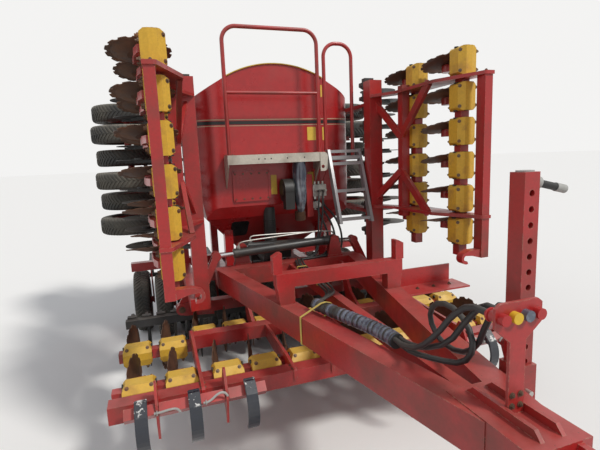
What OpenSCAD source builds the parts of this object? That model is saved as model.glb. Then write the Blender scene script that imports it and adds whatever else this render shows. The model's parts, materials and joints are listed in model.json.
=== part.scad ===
// Folded seed drill: a trailed pneumatic drill with two cultivating disc rows, seed coulters,
// staggered press wheels and a following harrow. Its wings stand folded beside the hopper.
// X runs across the machine, Y rearwards and Z up. Stations along Y are counted from the
// front disc row, and the whole drill is then shifted so that its middle lies at Y 0.

/* [Working width] */
// Distance between neighbouring tools of one disc row
pitch = 250; // [240:5:260]
// Tools of one wing in one disc row
wing_tools = 6; // [4:1:6]
// Gap between a wing's bars and those of the centre section when unfolded
wing_gap = 30; // [25:1:40]

/* [Fold] */
// Distance of the fold axis from the middle
hinge_x = 980; // [975:1:990]
// Height of the fold axis
hinge_z = 750; // [745:1:755]
// Radius of the fold pin
hinge_pin_r = 25; // [20:1:28]
// Running clearance of pins and stub axles, on the radius
fit_gap = 0.08; // [0.04:0.01:0.1]
// Side clearance of parts that turn past each other
side_gap = 4; // [3:1:6]

/* [Disc rows] */
// Height of the disc row bars
row_z = 672; // [665:1:680]
// Side of the square row bars
bar = 70; // [60:2:76]
// Gap between neighbouring clamp covers one pitch apart
clamp_gap = 54; // [46:2:70]
// Radius of the cultivating discs
disc_r = 195; // [180:5:200]
// Notches round the rim of a disc
disc_notches = 14; // [10:1:16]
// Distance of the disc hub behind its bar
disc_back = 262; // [255:1:270]
// Depth of the disc hub below its bar
disc_drop = 72; // [60:2:80]
// Angle of the discs to the direction of travel
disc_angle = 12; // [10:1:12]

/* [Coulters] */
// Radius of the seed coulter discs
coulter_r = 185; // [170:5:190]

/* [Wheels] */
// Outer radius of the tyres
tyre_r = 370; // [355:5:375]
// Width of a tyre
tyre_w = 190; // [180:2:196]
// Radius of the rims
rim_r = 225; // [215:5:235]
// Station of the front wheel row
axle_1_y = 2620; // [2610:5:2640]
// Distance between the two wheel rows
axle_step = 280; // [270:5:300]
// Radius of the stub axles
stub_r = 25; // [20:1:28]
// Distance of the harrow's bar behind the rear tyres
harrow_gap = 290; // [270:10:320]

/* [Hopper] */
// Half the width of the hopper
hopper_half = 760; // [740:5:765]
// Station of the hopper's front wall
hopper_y0 = 1200; // [1195:5:1230]
// Length of the hopper along the machine
hopper_len = 1700; // [1600:10:1750]
// Height at which the hopper's shoulders begin
rim_z = 2600; // [2550:10:2650]
// Rise of the shoulders
shoulder = 185; // [160:5:200]
// Rise of the tarpaulin's arch above the shoulders
crown = 115; // [90:5:130]
// Thickness of the hopper's walls
hopper_wall = 8; // [6:1:12]

/* [Drawbar] */
// Station of the hitch pin
pin_y = -1850; // [-1900:10:-1800]
// Height of the hitch pin
pin_z = 1060; // [1040:5:1070]
// Radius of the hitch pin's hole
hitch_r = 25; // [20:1:28]
// Depth of the drawbar beams
draw_h = 160; // [140:5:170]
// Width of the drawbar beams
draw_w = 120; // [100:5:125]

/* [Jack] */
// Side of the perforated square column
col = 75; // [70:1:80]
// Height of the column's top when the foot is on the ground
col_top = 1960; // [1900:10:2000]
// Distance between the holes in the column
hole_pitch = 63; // [60:1:66]

/* [Platform] */
// Height of the platform's deck
deck_z = 2100; // [2090:5:2110]
// Height of the handrail's top
rail_z = 3150; // [3100:10:3160]
// Radius of the handrail tube
rail_r = 17; // [15:1:20]

/* [Hidden] */

RED = [0.62, 0.07, 0.07];
YELLOW = [0.90, 0.72, 0.15];
RUST = [0.32, 0.20, 0.14];
BLACK = [0.09, 0.09, 0.09];
STEEL = [0.55, 0.56, 0.58];
RUBBER = [0.12, 0.12, 0.12];

$fn = 48;

// Gap between two solids of one body that rest on each other
seat = 0.3;
// Depth by which welded pieces run into each other
weld = 1;

// Working width: the centre section is twelve pitches wide, less the gap to the wings
centre_half = 6 * pitch - wing_gap;
wing_x0 = 6 * pitch;
wing_x1 = wing_x0 + wing_tools * pitch;
clamp_w = pitch - clamp_gap;

// Disc rows: tool places in pitches, as the clamps sit between the ribs
row_1_x = pitch * [0, 1, -1, 2.08, -2.08, 3.08, -3.08, 4.24, -4.24, 5.24, -5.24];
row_2_inner_x = pitch * [0.44, 1.36, 2.36, 3.36];
row_2_outer_x = pitch * [4.36, 5.36];
wing_tool_x = [for (i = [0:wing_tools - 1]) wing_x0 + (0.76 + 0.98 * i) * pitch];
row_2_y = 564;
row_2_inner_y = 700;
wing_row_2_y = 564;
front_rib_x = pitch * [0.52, 1.54];
rear_rib_x = 1.86 * pitch;
side_rib_x = 3.8 * pitch;
disc_hub = 30;
disc_t = 5;

front_y = -200;
front_z = 690;
front_bar = 100;
mid_tube_y = 510;
mid_tube_z = 730;
mid_tube = 100;

// Main frame
main_y = 1000;
main_w = 150;
main_z0 = 980;
main_half = hinge_x - 304;
main_top = main_z0 + main_w;
main_front = main_y - main_w / 2;
fold_y = [1225, 2250];
fold_z0 = hinge_z - 50;
fold_h = 100;
fold_w = 100;
fold_beam_end = hinge_x - 120;
lug_t = 30;
ear_t = 20;
ear_r = 52;
spine_x = 480;
spine_w = 100;
carrier_y = 2760;
carrier_z0 = 790;
carrier = 100;
carrier_y0 = carrier_y - carrier / 2;
axle_z = tyre_r;

// Coulters stand at half the disc pitch
coulter_pitch = pitch / 2;
coulter_bar_y = fold_y[0] + 105;
coulter_bar_z = 640;
coulter_bar = 70;
coulter_drop = 400;

// Harrow
harrow_y = axle_1_y + axle_step + tyre_r + harrow_gap;
harrow_z = 520;
harrow_bar = 50;
tine_back = 500;
tine_r = 9;

// Drawbar
hitch_cheek_r = 75;
nose_z0 = pin_z - draw_h / 2;
draw_top = pin_z + draw_h / 2;
draw_x0 = 70;
draw_y0 = -1560;
draw_x1 = main_half - 50;
strut_w = 65;
strut_h = 70;
jack_x = 262;
jack_y = -1330;
jack_gap = 1;
jack_wall = 12;

home = [0, -(pin_y - hitch_cheek_r + harrow_y + tine_back) / 2, 0];

// Levelling paddles
pad_y = -330;
pad_z = 720;
pad_x = pitch * [2.78, 4.04, 5.16];
pad_bearing = pitch * [3.32, 4.84];
pad_tube = 60;
pad_plate = 14;
pad_pin_r = 22;

// Straight run of an arc as points: centre c, radius r, from angle a0 to a1 in n steps
function arc(c, r, a0, a1, n) = [for (i = [0:n]) c + r * [cos(a0 + (a1 - a0) * i / n),
  sin(a0 + (a1 - a0) * i / n)]];

// A straight box beam from a to b, w across and h upright
module beam(a, b, w, h) {
  d = b - a;
  translate(a) rotate([0, -atan2(d[2], norm([d[0], d[1]])), atan2(d[1], d[0])])
    translate([0, -w / 2, -h / 2]) cube([norm(d), w, h]);
}

// A round bar from a to b
module rod(a, b, r) {
  d = b - a;
  translate(a) rotate([0, atan2(norm([d[0], d[1]]), d[2]), atan2(d[1], d[0])])
    cylinder(r = r, h = norm(d));
}

// A box given by its lowest corner and its highest
module block(lo, hi) {
  translate(lo) cube(hi - lo);
}

// A side profile in the YZ plane, w thick and centred on x
module side_plate(x, w, points) {
  translate([x - w / 2, 0, 0]) rotate([90, 0, 90]) linear_extrude(w) polygon(points);
}

// A front profile in the XZ plane, from station y0 to y1
module front_plate(y0, y1, points) {
  translate([0, y1, 0]) rotate([90, 0, 0]) linear_extrude(y1 - y0) polygon(points);
}

// A shaft across the machine, h long and centred on p
module shaft_x(p, r, h) {
  translate(p) rotate([0, 90, 0]) cylinder(r = r, h = h, center = true);
}

// A shaft along the machine, h long and centred on p
module shaft_y(p, r, h) {
  translate(p) rotate([90, 0, 0]) cylinder(r = r, h = h, center = true);
}

// The same shape on both sides of the machine
module both() {
  children();
  mirror([1, 0, 0]) children();
}

// Wing pieces are drawn at work on the right and folded up about the fold axis
module folded() {
  translate([hinge_x, 0, hinge_z]) rotate([0, -90, 0]) translate([-hinge_x, 0, -hinge_z]) children();
}

module on_wing(side) {
  translate(home) mirror([side > 0 ? 0 : 1, 0, 0]) folded() children();
}

// Tools left of the middle face the other way from those right of it
module outward(x) {
  mirror([x < 0 ? 1 : 0, 0, 0]) children();
}

// One clamp cover over a row bar: two pressed halves with chamfered ends
clamp_half = 80;
clamp_top = 76;
clamp_bottom = 64;
clamp_chamfer = 18;

module clamp_cover(x, y) {
  intersection() {
    side_plate(x, clamp_w, concat(
      [[y - 64, row_z - clamp_bottom], [y - clamp_half, row_z - 16], [y - clamp_half, row_z + 34]],
      [[y - 46, row_z + clamp_top], [y + 46, row_z + clamp_top], [y + clamp_half, row_z + 34]],
      [[y + clamp_half, row_z - 16], [y + 64, row_z - clamp_bottom],
      [y + bar / 2 + 8, row_z - clamp_bottom]],
      [[y + bar / 2, row_z - bar / 2], [y + bar / 2, row_z + bar / 2], [y - bar / 2, row_z + bar / 2]],
      [[y - bar / 2, row_z - bar / 2], [y - bar / 2 - 8, row_z - clamp_bottom]]));
    front_plate(y - clamp_half - 1, y + clamp_half + 1, clamp_front(x, clamp_w / 2, row_z));
  }
}

// Outline of a clamp cover from the front
function clamp_front(x, half, z) = [[x - half, z - 40], [x - half + clamp_chamfer, z - clamp_bottom],
  [x + half - clamp_chamfer, z - clamp_bottom], [x + half, z - 40], [x + half, z + 50],
  [x + half - clamp_chamfer, z + clamp_top], [x - half + clamp_chamfer, z + clamp_top], [x - half, z + 50]];

// One trailing disc arm, seated under its bar, with the hub that the disc turns on
module disc_arm(x, y) {
  seat_z = row_z - bar / 2;
  hub_y = y + disc_back;
  hub_z = row_z - disc_drop;
  under = row_z - clamp_bottom - seat;
  side_plate(x, 44, [[y - 32, seat_z], [y - 32, seat_z - 42], [y + 60, seat_z - 66],
    [hub_y - 20, hub_z - 36],
    [hub_y, hub_z - 36], [hub_y, hub_z + 36], [y + 110, under], [y + 32, under], [y + 32, seat_z]]);
  shaft_x([x, hub_y, hub_z], 42, 44);
  outward(x) translate([abs(x), hub_y, hub_z]) rotate([0, 0, disc_angle]) rotate([0, 90, 0])
    cylinder(r = 38, h = disc_hub);
}

// One dished disc, with notches in its flat rim
module disc(x, y) {
  notch = disc_r * 0.1;
  rim = disc_r * 0.82;
  dish = 20;
  outward(x) translate([abs(x), y + disc_back, row_z - disc_drop]) rotate([0, 0, disc_angle])
    rotate([0, 90, 0])
    translate([0, 0, disc_hub + seat]) difference() {
      rotate_extrude() polygon([[0, 0], [70, 0], [rim, dish], [disc_r, dish], [disc_r, dish + disc_t],
        [rim - 2, dish + disc_t], [68, disc_t], [0, disc_t]]);
      for (i = [1:disc_notches])
        rotate(360 * i / disc_notches) translate([disc_r + 5, 0, dish - 5])
          cylinder(r = notch, h = disc_t + 10);
    }
}

// One seed coulter on its rubber mount behind a bar's rear face
module coulter(x, y, z, reach) {
  hub_y = y + reach;
  hub_z = z - coulter_drop;
  block([x - 40, y, z - 45], [x + 40, y + 60, z + 45]);
  side_plate(x, 24, concat([[y + 59, z + 38], [y + 59, z - 38], [y + 110, z - 44]],
    [[hub_y - 60, hub_z + 10], [hub_y - 30, hub_z - 36], [hub_y + 40, hub_z - 36],
    [hub_y + 60, hub_z + 10]], [[hub_y + 20, hub_z + 90], [y + 190, z + 10], [y + 130, z + 38]]));
  // Seed tube down the back of the arm
  side_plate(x, 18, [[hub_y + 10, hub_z + 99], [hub_y + 70, hub_z + 40], [hub_y + 120, hub_z - 120],
    [hub_y + 95, hub_z - 125], [hub_y + 45, hub_z + 20], [hub_y - 10, hub_z + 80]]);
  shaft_x([x + 12, hub_y, hub_z], 40, 40);
  translate([x + 12, hub_y, hub_z]) rotate([0, 90, 0]) cylinder(r = coulter_r, h = 5);
}

// A press wheel's tyre with round shoulders
module tyre() {
  half = tyre_w / 2;
  round_r = 46;
  translate([0, 0, axle_z]) rotate([0, 90, 0]) rotate_extrude()
    polygon(concat([[rim_r + seat, -half + 26]],
      arc([rim_r + 44, -half + 34], 34, 200, 270, 3),
      arc([tyre_r - round_r, -half + round_r], round_r, 270, 348, 5),
      [[tyre_r, 0]],
      arc([tyre_r - round_r, half - round_r], round_r, 12, 90, 5),
      arc([rim_r + 44, half - 34], 34, 90, 160, 3), [[rim_r + seat, half - 26]]));
}

// A pressed wheel centre with its bearing hub and rim
hub_in = 58;
hub_out = 40;

module hub() {
  translate([0, 0, axle_z]) rotate([0, 90, 0]) rotate_extrude()
    polygon([[stub_r + fit_gap, -hub_in], [55, -hub_in], [55, -14], [110, -14], [140, 10], [rim_r - 14, 4],
      [rim_r - 14, -62], [rim_r - 30, -68], [rim_r - 30, -74], [rim_r, -70], [rim_r, 70], [rim_r - 30, 74],
      [rim_r - 30, 68], [rim_r - 14, 62], [rim_r - 14, 12], [136, 18], [106, -6], [55, -6], [55, hub_out],
      [stub_r + fit_gap, hub_out]]);
}

// The arm and stub axle that carry one wheel from the beam above
module wheel_arm(x, y) {
  px = x - pitch / 2;
  end = pitch / 2 + hub_out + side_gap;
  side_plate(px, 16, [[carrier_y - 50, carrier_z0 + weld], [y - 45, axle_z + 60], [y - 45, axle_z - 20],
    [y - 20, axle_z - 45], [y + 20, axle_z - 45], [y + 45, axle_z - 20], [y + 45, axle_z + 60],
    [carrier_y + 50, carrier_z0 + weld]]);
  translate([px, y, axle_z]) rotate([0, 90, 0]) {
    cylinder(r = 38, h = pitch / 2 - hub_in - side_gap);
    cylinder(r = stub_r, h = end + 8);
    translate([0, 0, end]) cylinder(r = 40, h = 8);
  }
}

mid_wheel_1 = [for (i = [0:2]) pitch / 2 + 2 * i * pitch];
mid_wheel_2 = [for (i = [0:2]) pitch * 3 / 2 + 2 * i * pitch];
wing_wheel_1 = [for (i = [0:2:wing_tools - 1]) wing_x0 + (i + 0.5) * pitch];
wing_wheel_2 = [for (i = [1:2:wing_tools - 1]) wing_x0 + (i + 0.5) * pitch];

// Centre section

// Fold rams: the right wing's ram stands left of the middle, and the other way about
ram_mid_y = 1030;
ram_off = 43;
ram_base_x = 430;
ram_base_z = 1290;
ram_eye_w = 30;
ram_pin_r = 15;
ram_lug_t = 12;
ram_r = 38;
ram_rod_r = 20;
ram_barrel_len = 950;
// The ram's eye on the wing at rest
ram_tip = [670, 0, 1250];

module fold_beam(y) {
  block([-fold_beam_end, y - fold_w / 2, fold_z0], [fold_beam_end, y + fold_w / 2, fold_z0 + fold_h]);
  both() for (s = [-1, 1]) {
    ey = y + s * (lug_t / 2 + side_gap + ear_t / 2);
    front_plate(ey - ear_t / 2, ey + ear_t / 2, [[fold_beam_end - 160, fold_z0 - 30],
      [hinge_x - 20, fold_z0 - 8],
      [hinge_x, fold_z0], [hinge_x, hinge_z + ear_r - 4], [fold_beam_end - 60, fold_z0 + fold_h + 30],
      [fold_beam_end - 160, fold_z0 + fold_h]]);
    shaft_y([hinge_x, ey, hinge_z], ear_r, ear_t);
  }
}

// The base of one fold ram on the main beam: foot plate, two lugs and the pin through them
module ram_base(s) {
  y = ram_mid_y + s * ram_off;
  x = -s * ram_base_x;
  foot_z = main_top + seat;
  foot_t = 15;
  color(RED) translate(home) {
    block([x - 75, y - 35, foot_z], [x + 75, y + 35, foot_z + foot_t]);
    for (t = [-1, 1]) {
      ly = y + t * (ram_eye_w / 2 + side_gap + ram_lug_t / 2);
      front_plate(ly - ram_lug_t / 2, ly + ram_lug_t / 2, concat(
        [[x - 70, foot_z + foot_t - weld], [x + 70, foot_z + foot_t - weld]],
        arc([x, ram_base_z], 42, 0, 180, 8)));
    }
    shaft_y([x, y, ram_base_z], ram_pin_r, ram_eye_w + 2 * side_gap + 2 * ram_lug_t + 6);
  }
}

module main_frame() {
  color(RED) translate(home) {
    block([-main_half, main_front, main_z0], [main_half, main_y + main_w / 2, main_top]);
    difference() {
      for (y = fold_y) fold_beam(y);
      both() for (y = fold_y)
        block([fold_beam_end - 5, y - lug_t / 2 - side_gap, fold_z0 - 60],
          [hinge_x + 80, y + lug_t / 2 + side_gap, fold_z0 + 200]);
    }
    both() for (y = fold_y)
      shaft_y([hinge_x, y, hinge_z], hinge_pin_r, lug_t + 2 * side_gap + 2 * ear_t + 16);
    // Spines from the main beam down to the fold beams and back to the wheel carrier
    both() side_plate(spine_x, spine_w, [[main_y - 20, main_z0 + weld], [main_y - 20, main_z0 - 60],
      [main_y + 90, fold_z0 + fold_h - weld], [carrier_y0 - seat, fold_z0 + fold_h - weld],
      [carrier_y0 - seat, fold_z0 + 2 * fold_h], [main_y + 260, fold_z0 + 2 * fold_h],
      [main_y + main_w / 2, main_z0 + weld]]);
  }
}

// Beam behind the spines that carries the press wheels of the centre section
module mid_carrier() {
  color(RED) translate(home) {
    block([-centre_half, carrier_y0, carrier_z0],
      [centre_half, carrier_y0 + carrier, carrier_z0 + carrier]);
    both() {
      for (x = mid_wheel_1) wheel_arm(x, axle_1_y);
      for (x = mid_wheel_2) wheel_arm(x, axle_1_y + axle_step);
    }
  }
}

// Half the distance between the drawbar beams' middle lines at station y
function draw_x(y) = draw_x0 + (draw_x1 - draw_x0) * (y - draw_y0) / (main_y - draw_y0);

rest_y0 = -160;
rest_y1 = -80;
shelf_z = 1048;

module drawbar() {
  nose_y0 = -1760;
  nose_y1 = -1366;
  color(RED) translate(home) difference() {
    union() {
      both() beam([draw_x0, draw_y0, pin_z], [draw_x1, main_y, pin_z], draw_w, draw_h);
      beam([0, nose_y1 - 19, pin_z + 20], [0, main_front, pin_z + 20], strut_w, strut_h);
      block([-125, nose_y0, nose_z0 - 4], [125, nose_y1, draw_top + 4]);
      both() {
        side_plate(72.5, 25, concat([[nose_y0 + 60, pin_z - hitch_cheek_r],
          [nose_y0 + 60, pin_z + hitch_cheek_r]], arc([pin_y, pin_z], hitch_cheek_r, 90, 270, 12)));
        // Ribs along the top of the nose
        side_plate(45, 16, [[nose_y0 + 30, draw_top], [nose_y0 + 60, draw_top + 34],
          [nose_y1 - 60, draw_top + 34], [nose_y1 - 20, draw_top]]);
      }
      // Rack plate for the hose ends
      front_plate(rack_y - 6, rack_y + 6, [[-35, draw_top], [35, draw_top], [35, rack_z - 90],
        [100, rack_z - 35], [100, rack_z + 35], [80, rack_z + 50], [-80, rack_z + 50],
        [-100, rack_z + 35], [-100, rack_z - 35], [-35, rack_z - 90]]);
      for (x = rack_x) shaft_y([x, rack_y + 25, rack_z], 20, 50);
      // Sleeve of the jack and its bracket
      block([jack_x - col / 2 - jack_wall, jack_y - col / 2 - jack_wall, pin_z - 110],
        [jack_x + col / 2 + jack_wall, jack_y + col / 2 + jack_wall, pin_z + 110]);
      block([120, jack_y - 40, pin_z - 60], [jack_x - col / 2, jack_y + 40, pin_z + 60]);
      // Shelf beside the left beam
      block([draw_x(0), 60, shelf_z], [1010, 72, shelf_z + 142]);
      block([draw_x(0) - 20, -130, shelf_z], [1050, 72, shelf_z + 12]);
    }
    block([jack_x - col / 2 - jack_gap, jack_y - col / 2 - jack_gap, pin_z - 200],
      [jack_x + col / 2 + jack_gap, jack_y + col / 2 + jack_gap, pin_z + 200]);
    shaft_x([0, pin_y, pin_z], hitch_r, 400);
    // The drawbar's rear ends stop square at the main beam
    block([-900, main_front, 0], [900, main_y + 300, 2000]);
  }
}

rack_y = -1570;
rack_z = 1500;
rack_x = [-75, -25, 25, 75];

module jack_leg() {
  foot = 110;
  color(RED) translate(home) difference() {
    union() {
      block([jack_x - col / 2, jack_y - col / 2, 10], [jack_x + col / 2, jack_y + col / 2, col_top]);
      block([jack_x - foot, jack_y - foot, 0], [jack_x + foot, jack_y + foot, 12]);
      rod([jack_x + col / 2 - weld, jack_y, col_top - 40], [jack_x + col / 2 + 130, jack_y, col_top - 70],
        14);
    }
    for (z = [240:hole_pitch:col_top - 80])
      shaft_y([jack_x, jack_y, z], 13, col + 2);
  }
}

// Upper cross beam on the drawbar, with the stubs that the folded wings lean to
module rest_frame() {
  beam_z0 = 1250;
  beam_z1 = 1340;
  color(RED) translate(home) {
    block([-450, rest_y0, beam_z0], [450, rest_y1, beam_z1]);
    both() {
      front_plate(rest_y0 + 10, rest_y1 - 10, [[405, beam_z1 - weld], [465, beam_z1 - weld],
        [465, beam_z1 + 110], [425, beam_z1 + 132], [405, beam_z1 + 132]]);
      front_plate(rest_y0, rest_y1, [[draw_x(rest_y0) - 40, draw_top + seat],
        [draw_x(rest_y1) + 40, draw_top + seat],
        [446, beam_z0 + weld], [draw_x(rest_y0) - 40, beam_z0 + weld]]);
    }
  }
}

module row_bars() {
  front_edge = front_y - front_bar / 2 - 12;
  mid_top = mid_tube_z + mid_tube / 2;
  mid_front = mid_tube_y - mid_tube / 2;
  mid_back = mid_tube_y + mid_tube / 2;
  color(RED) translate(home) {
    block([-centre_half, front_y - front_bar / 2, front_z - front_bar / 2],
      [centre_half, front_y + front_bar / 2, front_z + front_bar / 2]);
    block([-centre_half, -bar / 2, row_z - bar / 2], [centre_half, bar / 2, row_z + bar / 2]);
    block([-side_rib_x, mid_front, mid_tube_z - mid_tube / 2], [side_rib_x, mid_back, mid_top]);
    block([-side_rib_x + 5, row_2_inner_y - bar / 2, row_z - bar / 2],
      [side_rib_x - 5, row_2_inner_y + bar / 2, row_z + bar / 2]);
    both() {
      block([side_rib_x - 5, row_2_y - bar / 2, row_z - bar / 2],
        [centre_half, row_2_y + bar / 2, row_z + bar / 2]);
      // Ribs hooked over the front tube that run back to the middle tube
      for (x = front_rib_x)
        side_plate(x, 20, concat([[front_edge, front_z - 10]],
          arc([front_edge + 24, front_z + 42], 24, 180, 90, 4),
          [[-60, mid_top - 6], [mid_front + weld, mid_top], [mid_front + weld, mid_tube_z - mid_tube / 2],
            [80, row_z - 25], [front_y, row_z - 25], [front_y, front_z - 10]]));
      // Ribs from the middle tube up to the main beam
      side_plate(rear_rib_x, 24, [[mid_back - weld, mid_tube_z - 40], [row_2_inner_y - 40, row_z - 40],
        [row_2_inner_y + 40, row_z - 40], [main_front - 60, main_z0 - 40], [main_front, main_z0],
        [main_front, main_z0 + 110],
        [main_front - 60, main_z0 + 110], [row_2_inner_y, mid_top + 70], [mid_back - weld, mid_top - 4]]);
      // Side ribs with a hooked nose
      side_plate(side_rib_x, 20, concat([[front_edge, front_z - 10]],
        arc([front_edge + 24, front_z + 42], 24, 180, 90, 4),
        [[mid_front, mid_top + 10], [mid_back, mid_top + 10], [row_2_inner_y + 60, row_z + 40],
          [row_2_inner_y + 60, row_z - 45], [mid_tube_y - 90, row_z - 45], [front_y, row_z - 25],
          [front_y, front_z - 10]]));
      for (x = pad_bearing) pad_bearing_plate(x);
    }
  }
}

// A pointed bearing plate of the levelling paddles
module pad_bearing_plate(x) {
  difference() {
    side_plate(x, pad_plate, [[front_y, front_z - 45], [pad_y + 40, front_z - 70],
      [pad_y + 10, front_z - 150],
      [pad_y - 30, pad_z - 60], [pad_y - 48, pad_z], [pad_y - 30, pad_z + 50], [pad_y + 20, pad_z + 150],
      [pad_y + 50, pad_z + 150], [front_y, front_z + 49]]);
    shaft_x([x, pad_y, pad_z], pad_pin_r + fit_gap, 30);
  }
}

// Place x on both sides, as one list
function mirrored(list) = concat(list, -list);

module clamps_mid() {
  color(YELLOW) translate(home) {
    for (x = row_1_x) clamp_cover(x, 0);
    for (x = mirrored(row_2_inner_x)) clamp_cover(x, row_2_inner_y);
    for (x = mirrored(row_2_outer_x)) clamp_cover(x, row_2_y);
  }
}

module arms_mid() {
  color(RED) translate(home) {
    for (x = row_1_x) disc_arm(x, 0);
    for (x = mirrored(row_2_inner_x)) disc_arm(x, row_2_inner_y);
    for (x = mirrored(row_2_outer_x)) disc_arm(x, row_2_y);
  }
}

module discs_mid() {
  color(RUST) translate(home) {
    for (x = row_1_x) disc(x, 0);
    for (x = mirrored(row_2_inner_x)) disc(x, row_2_inner_y);
    for (x = mirrored(row_2_outer_x)) disc(x, row_2_y);
  }
}

module coulters_mid() {
  half = coulter_bar / 2;
  short = 330;
  stagger = 160;
  color(BLACK) translate(home) {
    block([-centre_half, coulter_bar_y - half, coulter_bar_z - half],
      [centre_half, coulter_bar_y + half, coulter_bar_z + half]);
    both() for (x = pitch * [1.2, 2.6])
      block([x - 20, fold_y[0] - fold_w / 2, coulter_bar_z - 30],
        [x + 20, coulter_bar_y - half + weld, fold_z0]);
    both() for (i = [0:11])
      coulter(coulter_pitch * (i + 0.5) - 20, coulter_bar_y + half, coulter_bar_z,
        short + stagger * (i % 2));
  }
}

// One spring tine: down and back from the bar, then trailing level
module harrow_tine(x) {
  low = [x, harrow_y + 180, harrow_z - 320];
  rod([x, harrow_y, harrow_z - 20], low, tine_r);
  rod(low - [0, tine_r / 2, 0], [x, harrow_y + tine_back, low[2]], tine_r);
}

module harrow(x0, x1, arm_xs) {
  half = harrow_bar / 2;
  block([x0, harrow_y - half, harrow_z - half], [x1, harrow_y + half, harrow_z + half]);
  for (x = arm_xs) {
    side_plate(x, 30, [[carrier_y + carrier / 2, carrier_z0 + 20], [harrow_y - 200, carrier_z0 + 20],
      [harrow_y - 20, harrow_z], [harrow_y + 20, harrow_z], [harrow_y - 160, carrier_z0 + 80],
      [carrier_y + carrier / 2, carrier_z0 + 80]]);
  }
  n = round((x1 - x0) / pitch);
  for (i = [0:n - 1]) {
    x = x0 + (x1 - x0) * (i + 0.5) / n;
    harrow_tine(x);
  }
}

module harrow_mid() {
  color(BLACK) translate(home) harrow(-centre_half, centre_half, pitch * [-5, -2, 2, 5]);
}

// Hopper, platform and air system

hopper_y1 = hopper_y0 + hopper_len;
hopper_z0 = 1180;
knee_z = 1960;
funnel_z = 1530;
corner = 200;
mouth = 450;
// The tarpaulin's arch: a circle through the edges of the mouth
arch_r = (mouth * mouth + crown * crown) / (2 * crown);
arch_z = rim_z + shoulder + crown - arch_r;
arch_a = asin(mouth / arch_r);

// Points of the arch, moved out by g
function arch(g) = arc([0, arch_z], arch_r + g, 90 - arch_a, 90 + arch_a, 10);

// The tank's form, with every wall moved inwards by t
module tank(t) {
  hw = hopper_half - t;
  f = hopper_y0 + t;
  b = hopper_y1 - t;
  z0 = hopper_z0 + t;
  r = corner - t;
  intersection() {
    front_plate(f, b, concat([[-hw, rim_z], [-hw, knee_z], [-690 + t, funnel_z], [-370 + t, z0],
      [370 - t, z0], [690 - t, funnel_z], [hw, knee_z], [hw, rim_z]], arch(-t)));
    side_plate(0, 2 * hopper_half + 10, [[f, rim_z + 400], [f, funnel_z + 110], [f + 60, funnel_z],
      [f + 480, z0], [b - 420, z0], [b, funnel_z + 70], [b, rim_z + 400]]);
    // Seen from above, with round corners
    union() {
      block([-hw + r, f, z0 - 10], [hw - r, b, rim_z + 500]);
      block([-hw, f + r, z0 - 10], [hw, b - r, rim_z + 500]);
      for (x = [-hw + r, hw - r])
        for (y = [f + r, b - r])
          translate([x, y, z0 - 10]) cylinder(r = r, h = rim_z + 510 - z0);
    }
  }
}

module hopper() {
  lip = 50;
  color(RED) translate(home) difference() {
    union() {
      tank(0);
      // Feet on the spine beams
      both() for (y = [hopper_y0 + 260, hopper_y1 - 300])
        side_plate(spine_x, 80, [[y - 60, fold_z0 + 2 * fold_h + seat],
          [y + 60, fold_z0 + 2 * fold_h + seat], [y + 40, funnel_z], [y - 40, funnel_z]]);
      // Inspection hatch in the front wall
      block([-440, hopper_y0 - 10, 1690], [-110, hopper_y0 + weld, 1950]);
    }
    tank(hopper_wall);
    // The filling mouth under the tarpaulin
    block([-mouth + lip, hopper_y0 + lip, rim_z + 60], [mouth - lip, hopper_y1 - lip, rim_z + 500]);
  }
}

module hopper_cover() {
  sheet = 5;
  hang = 16;
  color(YELLOW) translate(home)
    front_plate(hopper_y0 - hang, hopper_y1 + hang, concat(arch(seat),
      [for (i = [10:-1:0]) arch(seat + sheet)[i]]));
}

deck_x0 = -510;
deck_x1 = 360;
deck_y0 = 1000;
deck_h = 80;
deck_sheet = 5;

module platform() {
  color(STEEL) translate(home) {
    difference() {
      block([deck_x0, deck_y0, deck_z - deck_h], [deck_x1, hopper_y0 - 17, deck_z]);
      block([deck_x0 + deck_sheet, deck_y0 + deck_sheet, deck_z - deck_h - 1],
        [deck_x1 - deck_sheet, hopper_y0 - 17 - deck_sheet, deck_z - deck_sheet]);
    }
    // Brackets on the hopper's wall
    for (x = [deck_x0 + 6, deck_x1 - 20])
      side_plate(x, 12, [[deck_y0 + 20, deck_z - deck_h - 20], [hopper_y0 - seat, deck_z - 290],
        [hopper_y0 - seat, deck_z - 10], [hopper_y0 - 30, deck_z - 10],
        [deck_y0 + 20, deck_z - deck_h + weld]]);
    // Round end plate with its hole
    difference() {
      front_plate(deck_y0 - 8, deck_y0 + weld, concat([[deck_x1 - 30, deck_z],
        [deck_x1 - 30, deck_z - 170]],
        arc([deck_x1 + 5, deck_z - 130], 40, -90, 0, 4), arc([deck_x1 + 5, deck_z - 40], 40, 0, 90, 4)));
      shaft_y([deck_x1 - 5, deck_y0, deck_z - 130], 16, 40);
    }
  }
}

module ladder() {
  lx = [deck_x1 + 62, deck_x1 + 372];
  top = [deck_y0 + 40, deck_z + 20];
  foot = [deck_y0 - 200, deck_z - 640];
  color(STEEL) translate(home) {
    for (x = lx) side_plate(x, 26, [[top[0] - 32, top[1]], [foot[0] - 32, foot[1]], [foot[0] + 32, foot[1]],
      [top[0] + 32, top[1]]]);
    for (t = [0.03, 0.12, 0.2, 0.57, 0.95]) {
      mid = top + (foot - top) * t;
      block([lx[0] + 12, mid[0] - 20, mid[1] - 13], [lx[1] - 12, mid[0] + 20, mid[1] + 13]);
    }
    // Carriers from the deck's edge
    block([deck_x1, deck_y0 + 16, deck_z - deck_h + 1], [lx[1] + 13, deck_y0 + 130, deck_z - 40]);
  }
}

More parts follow.
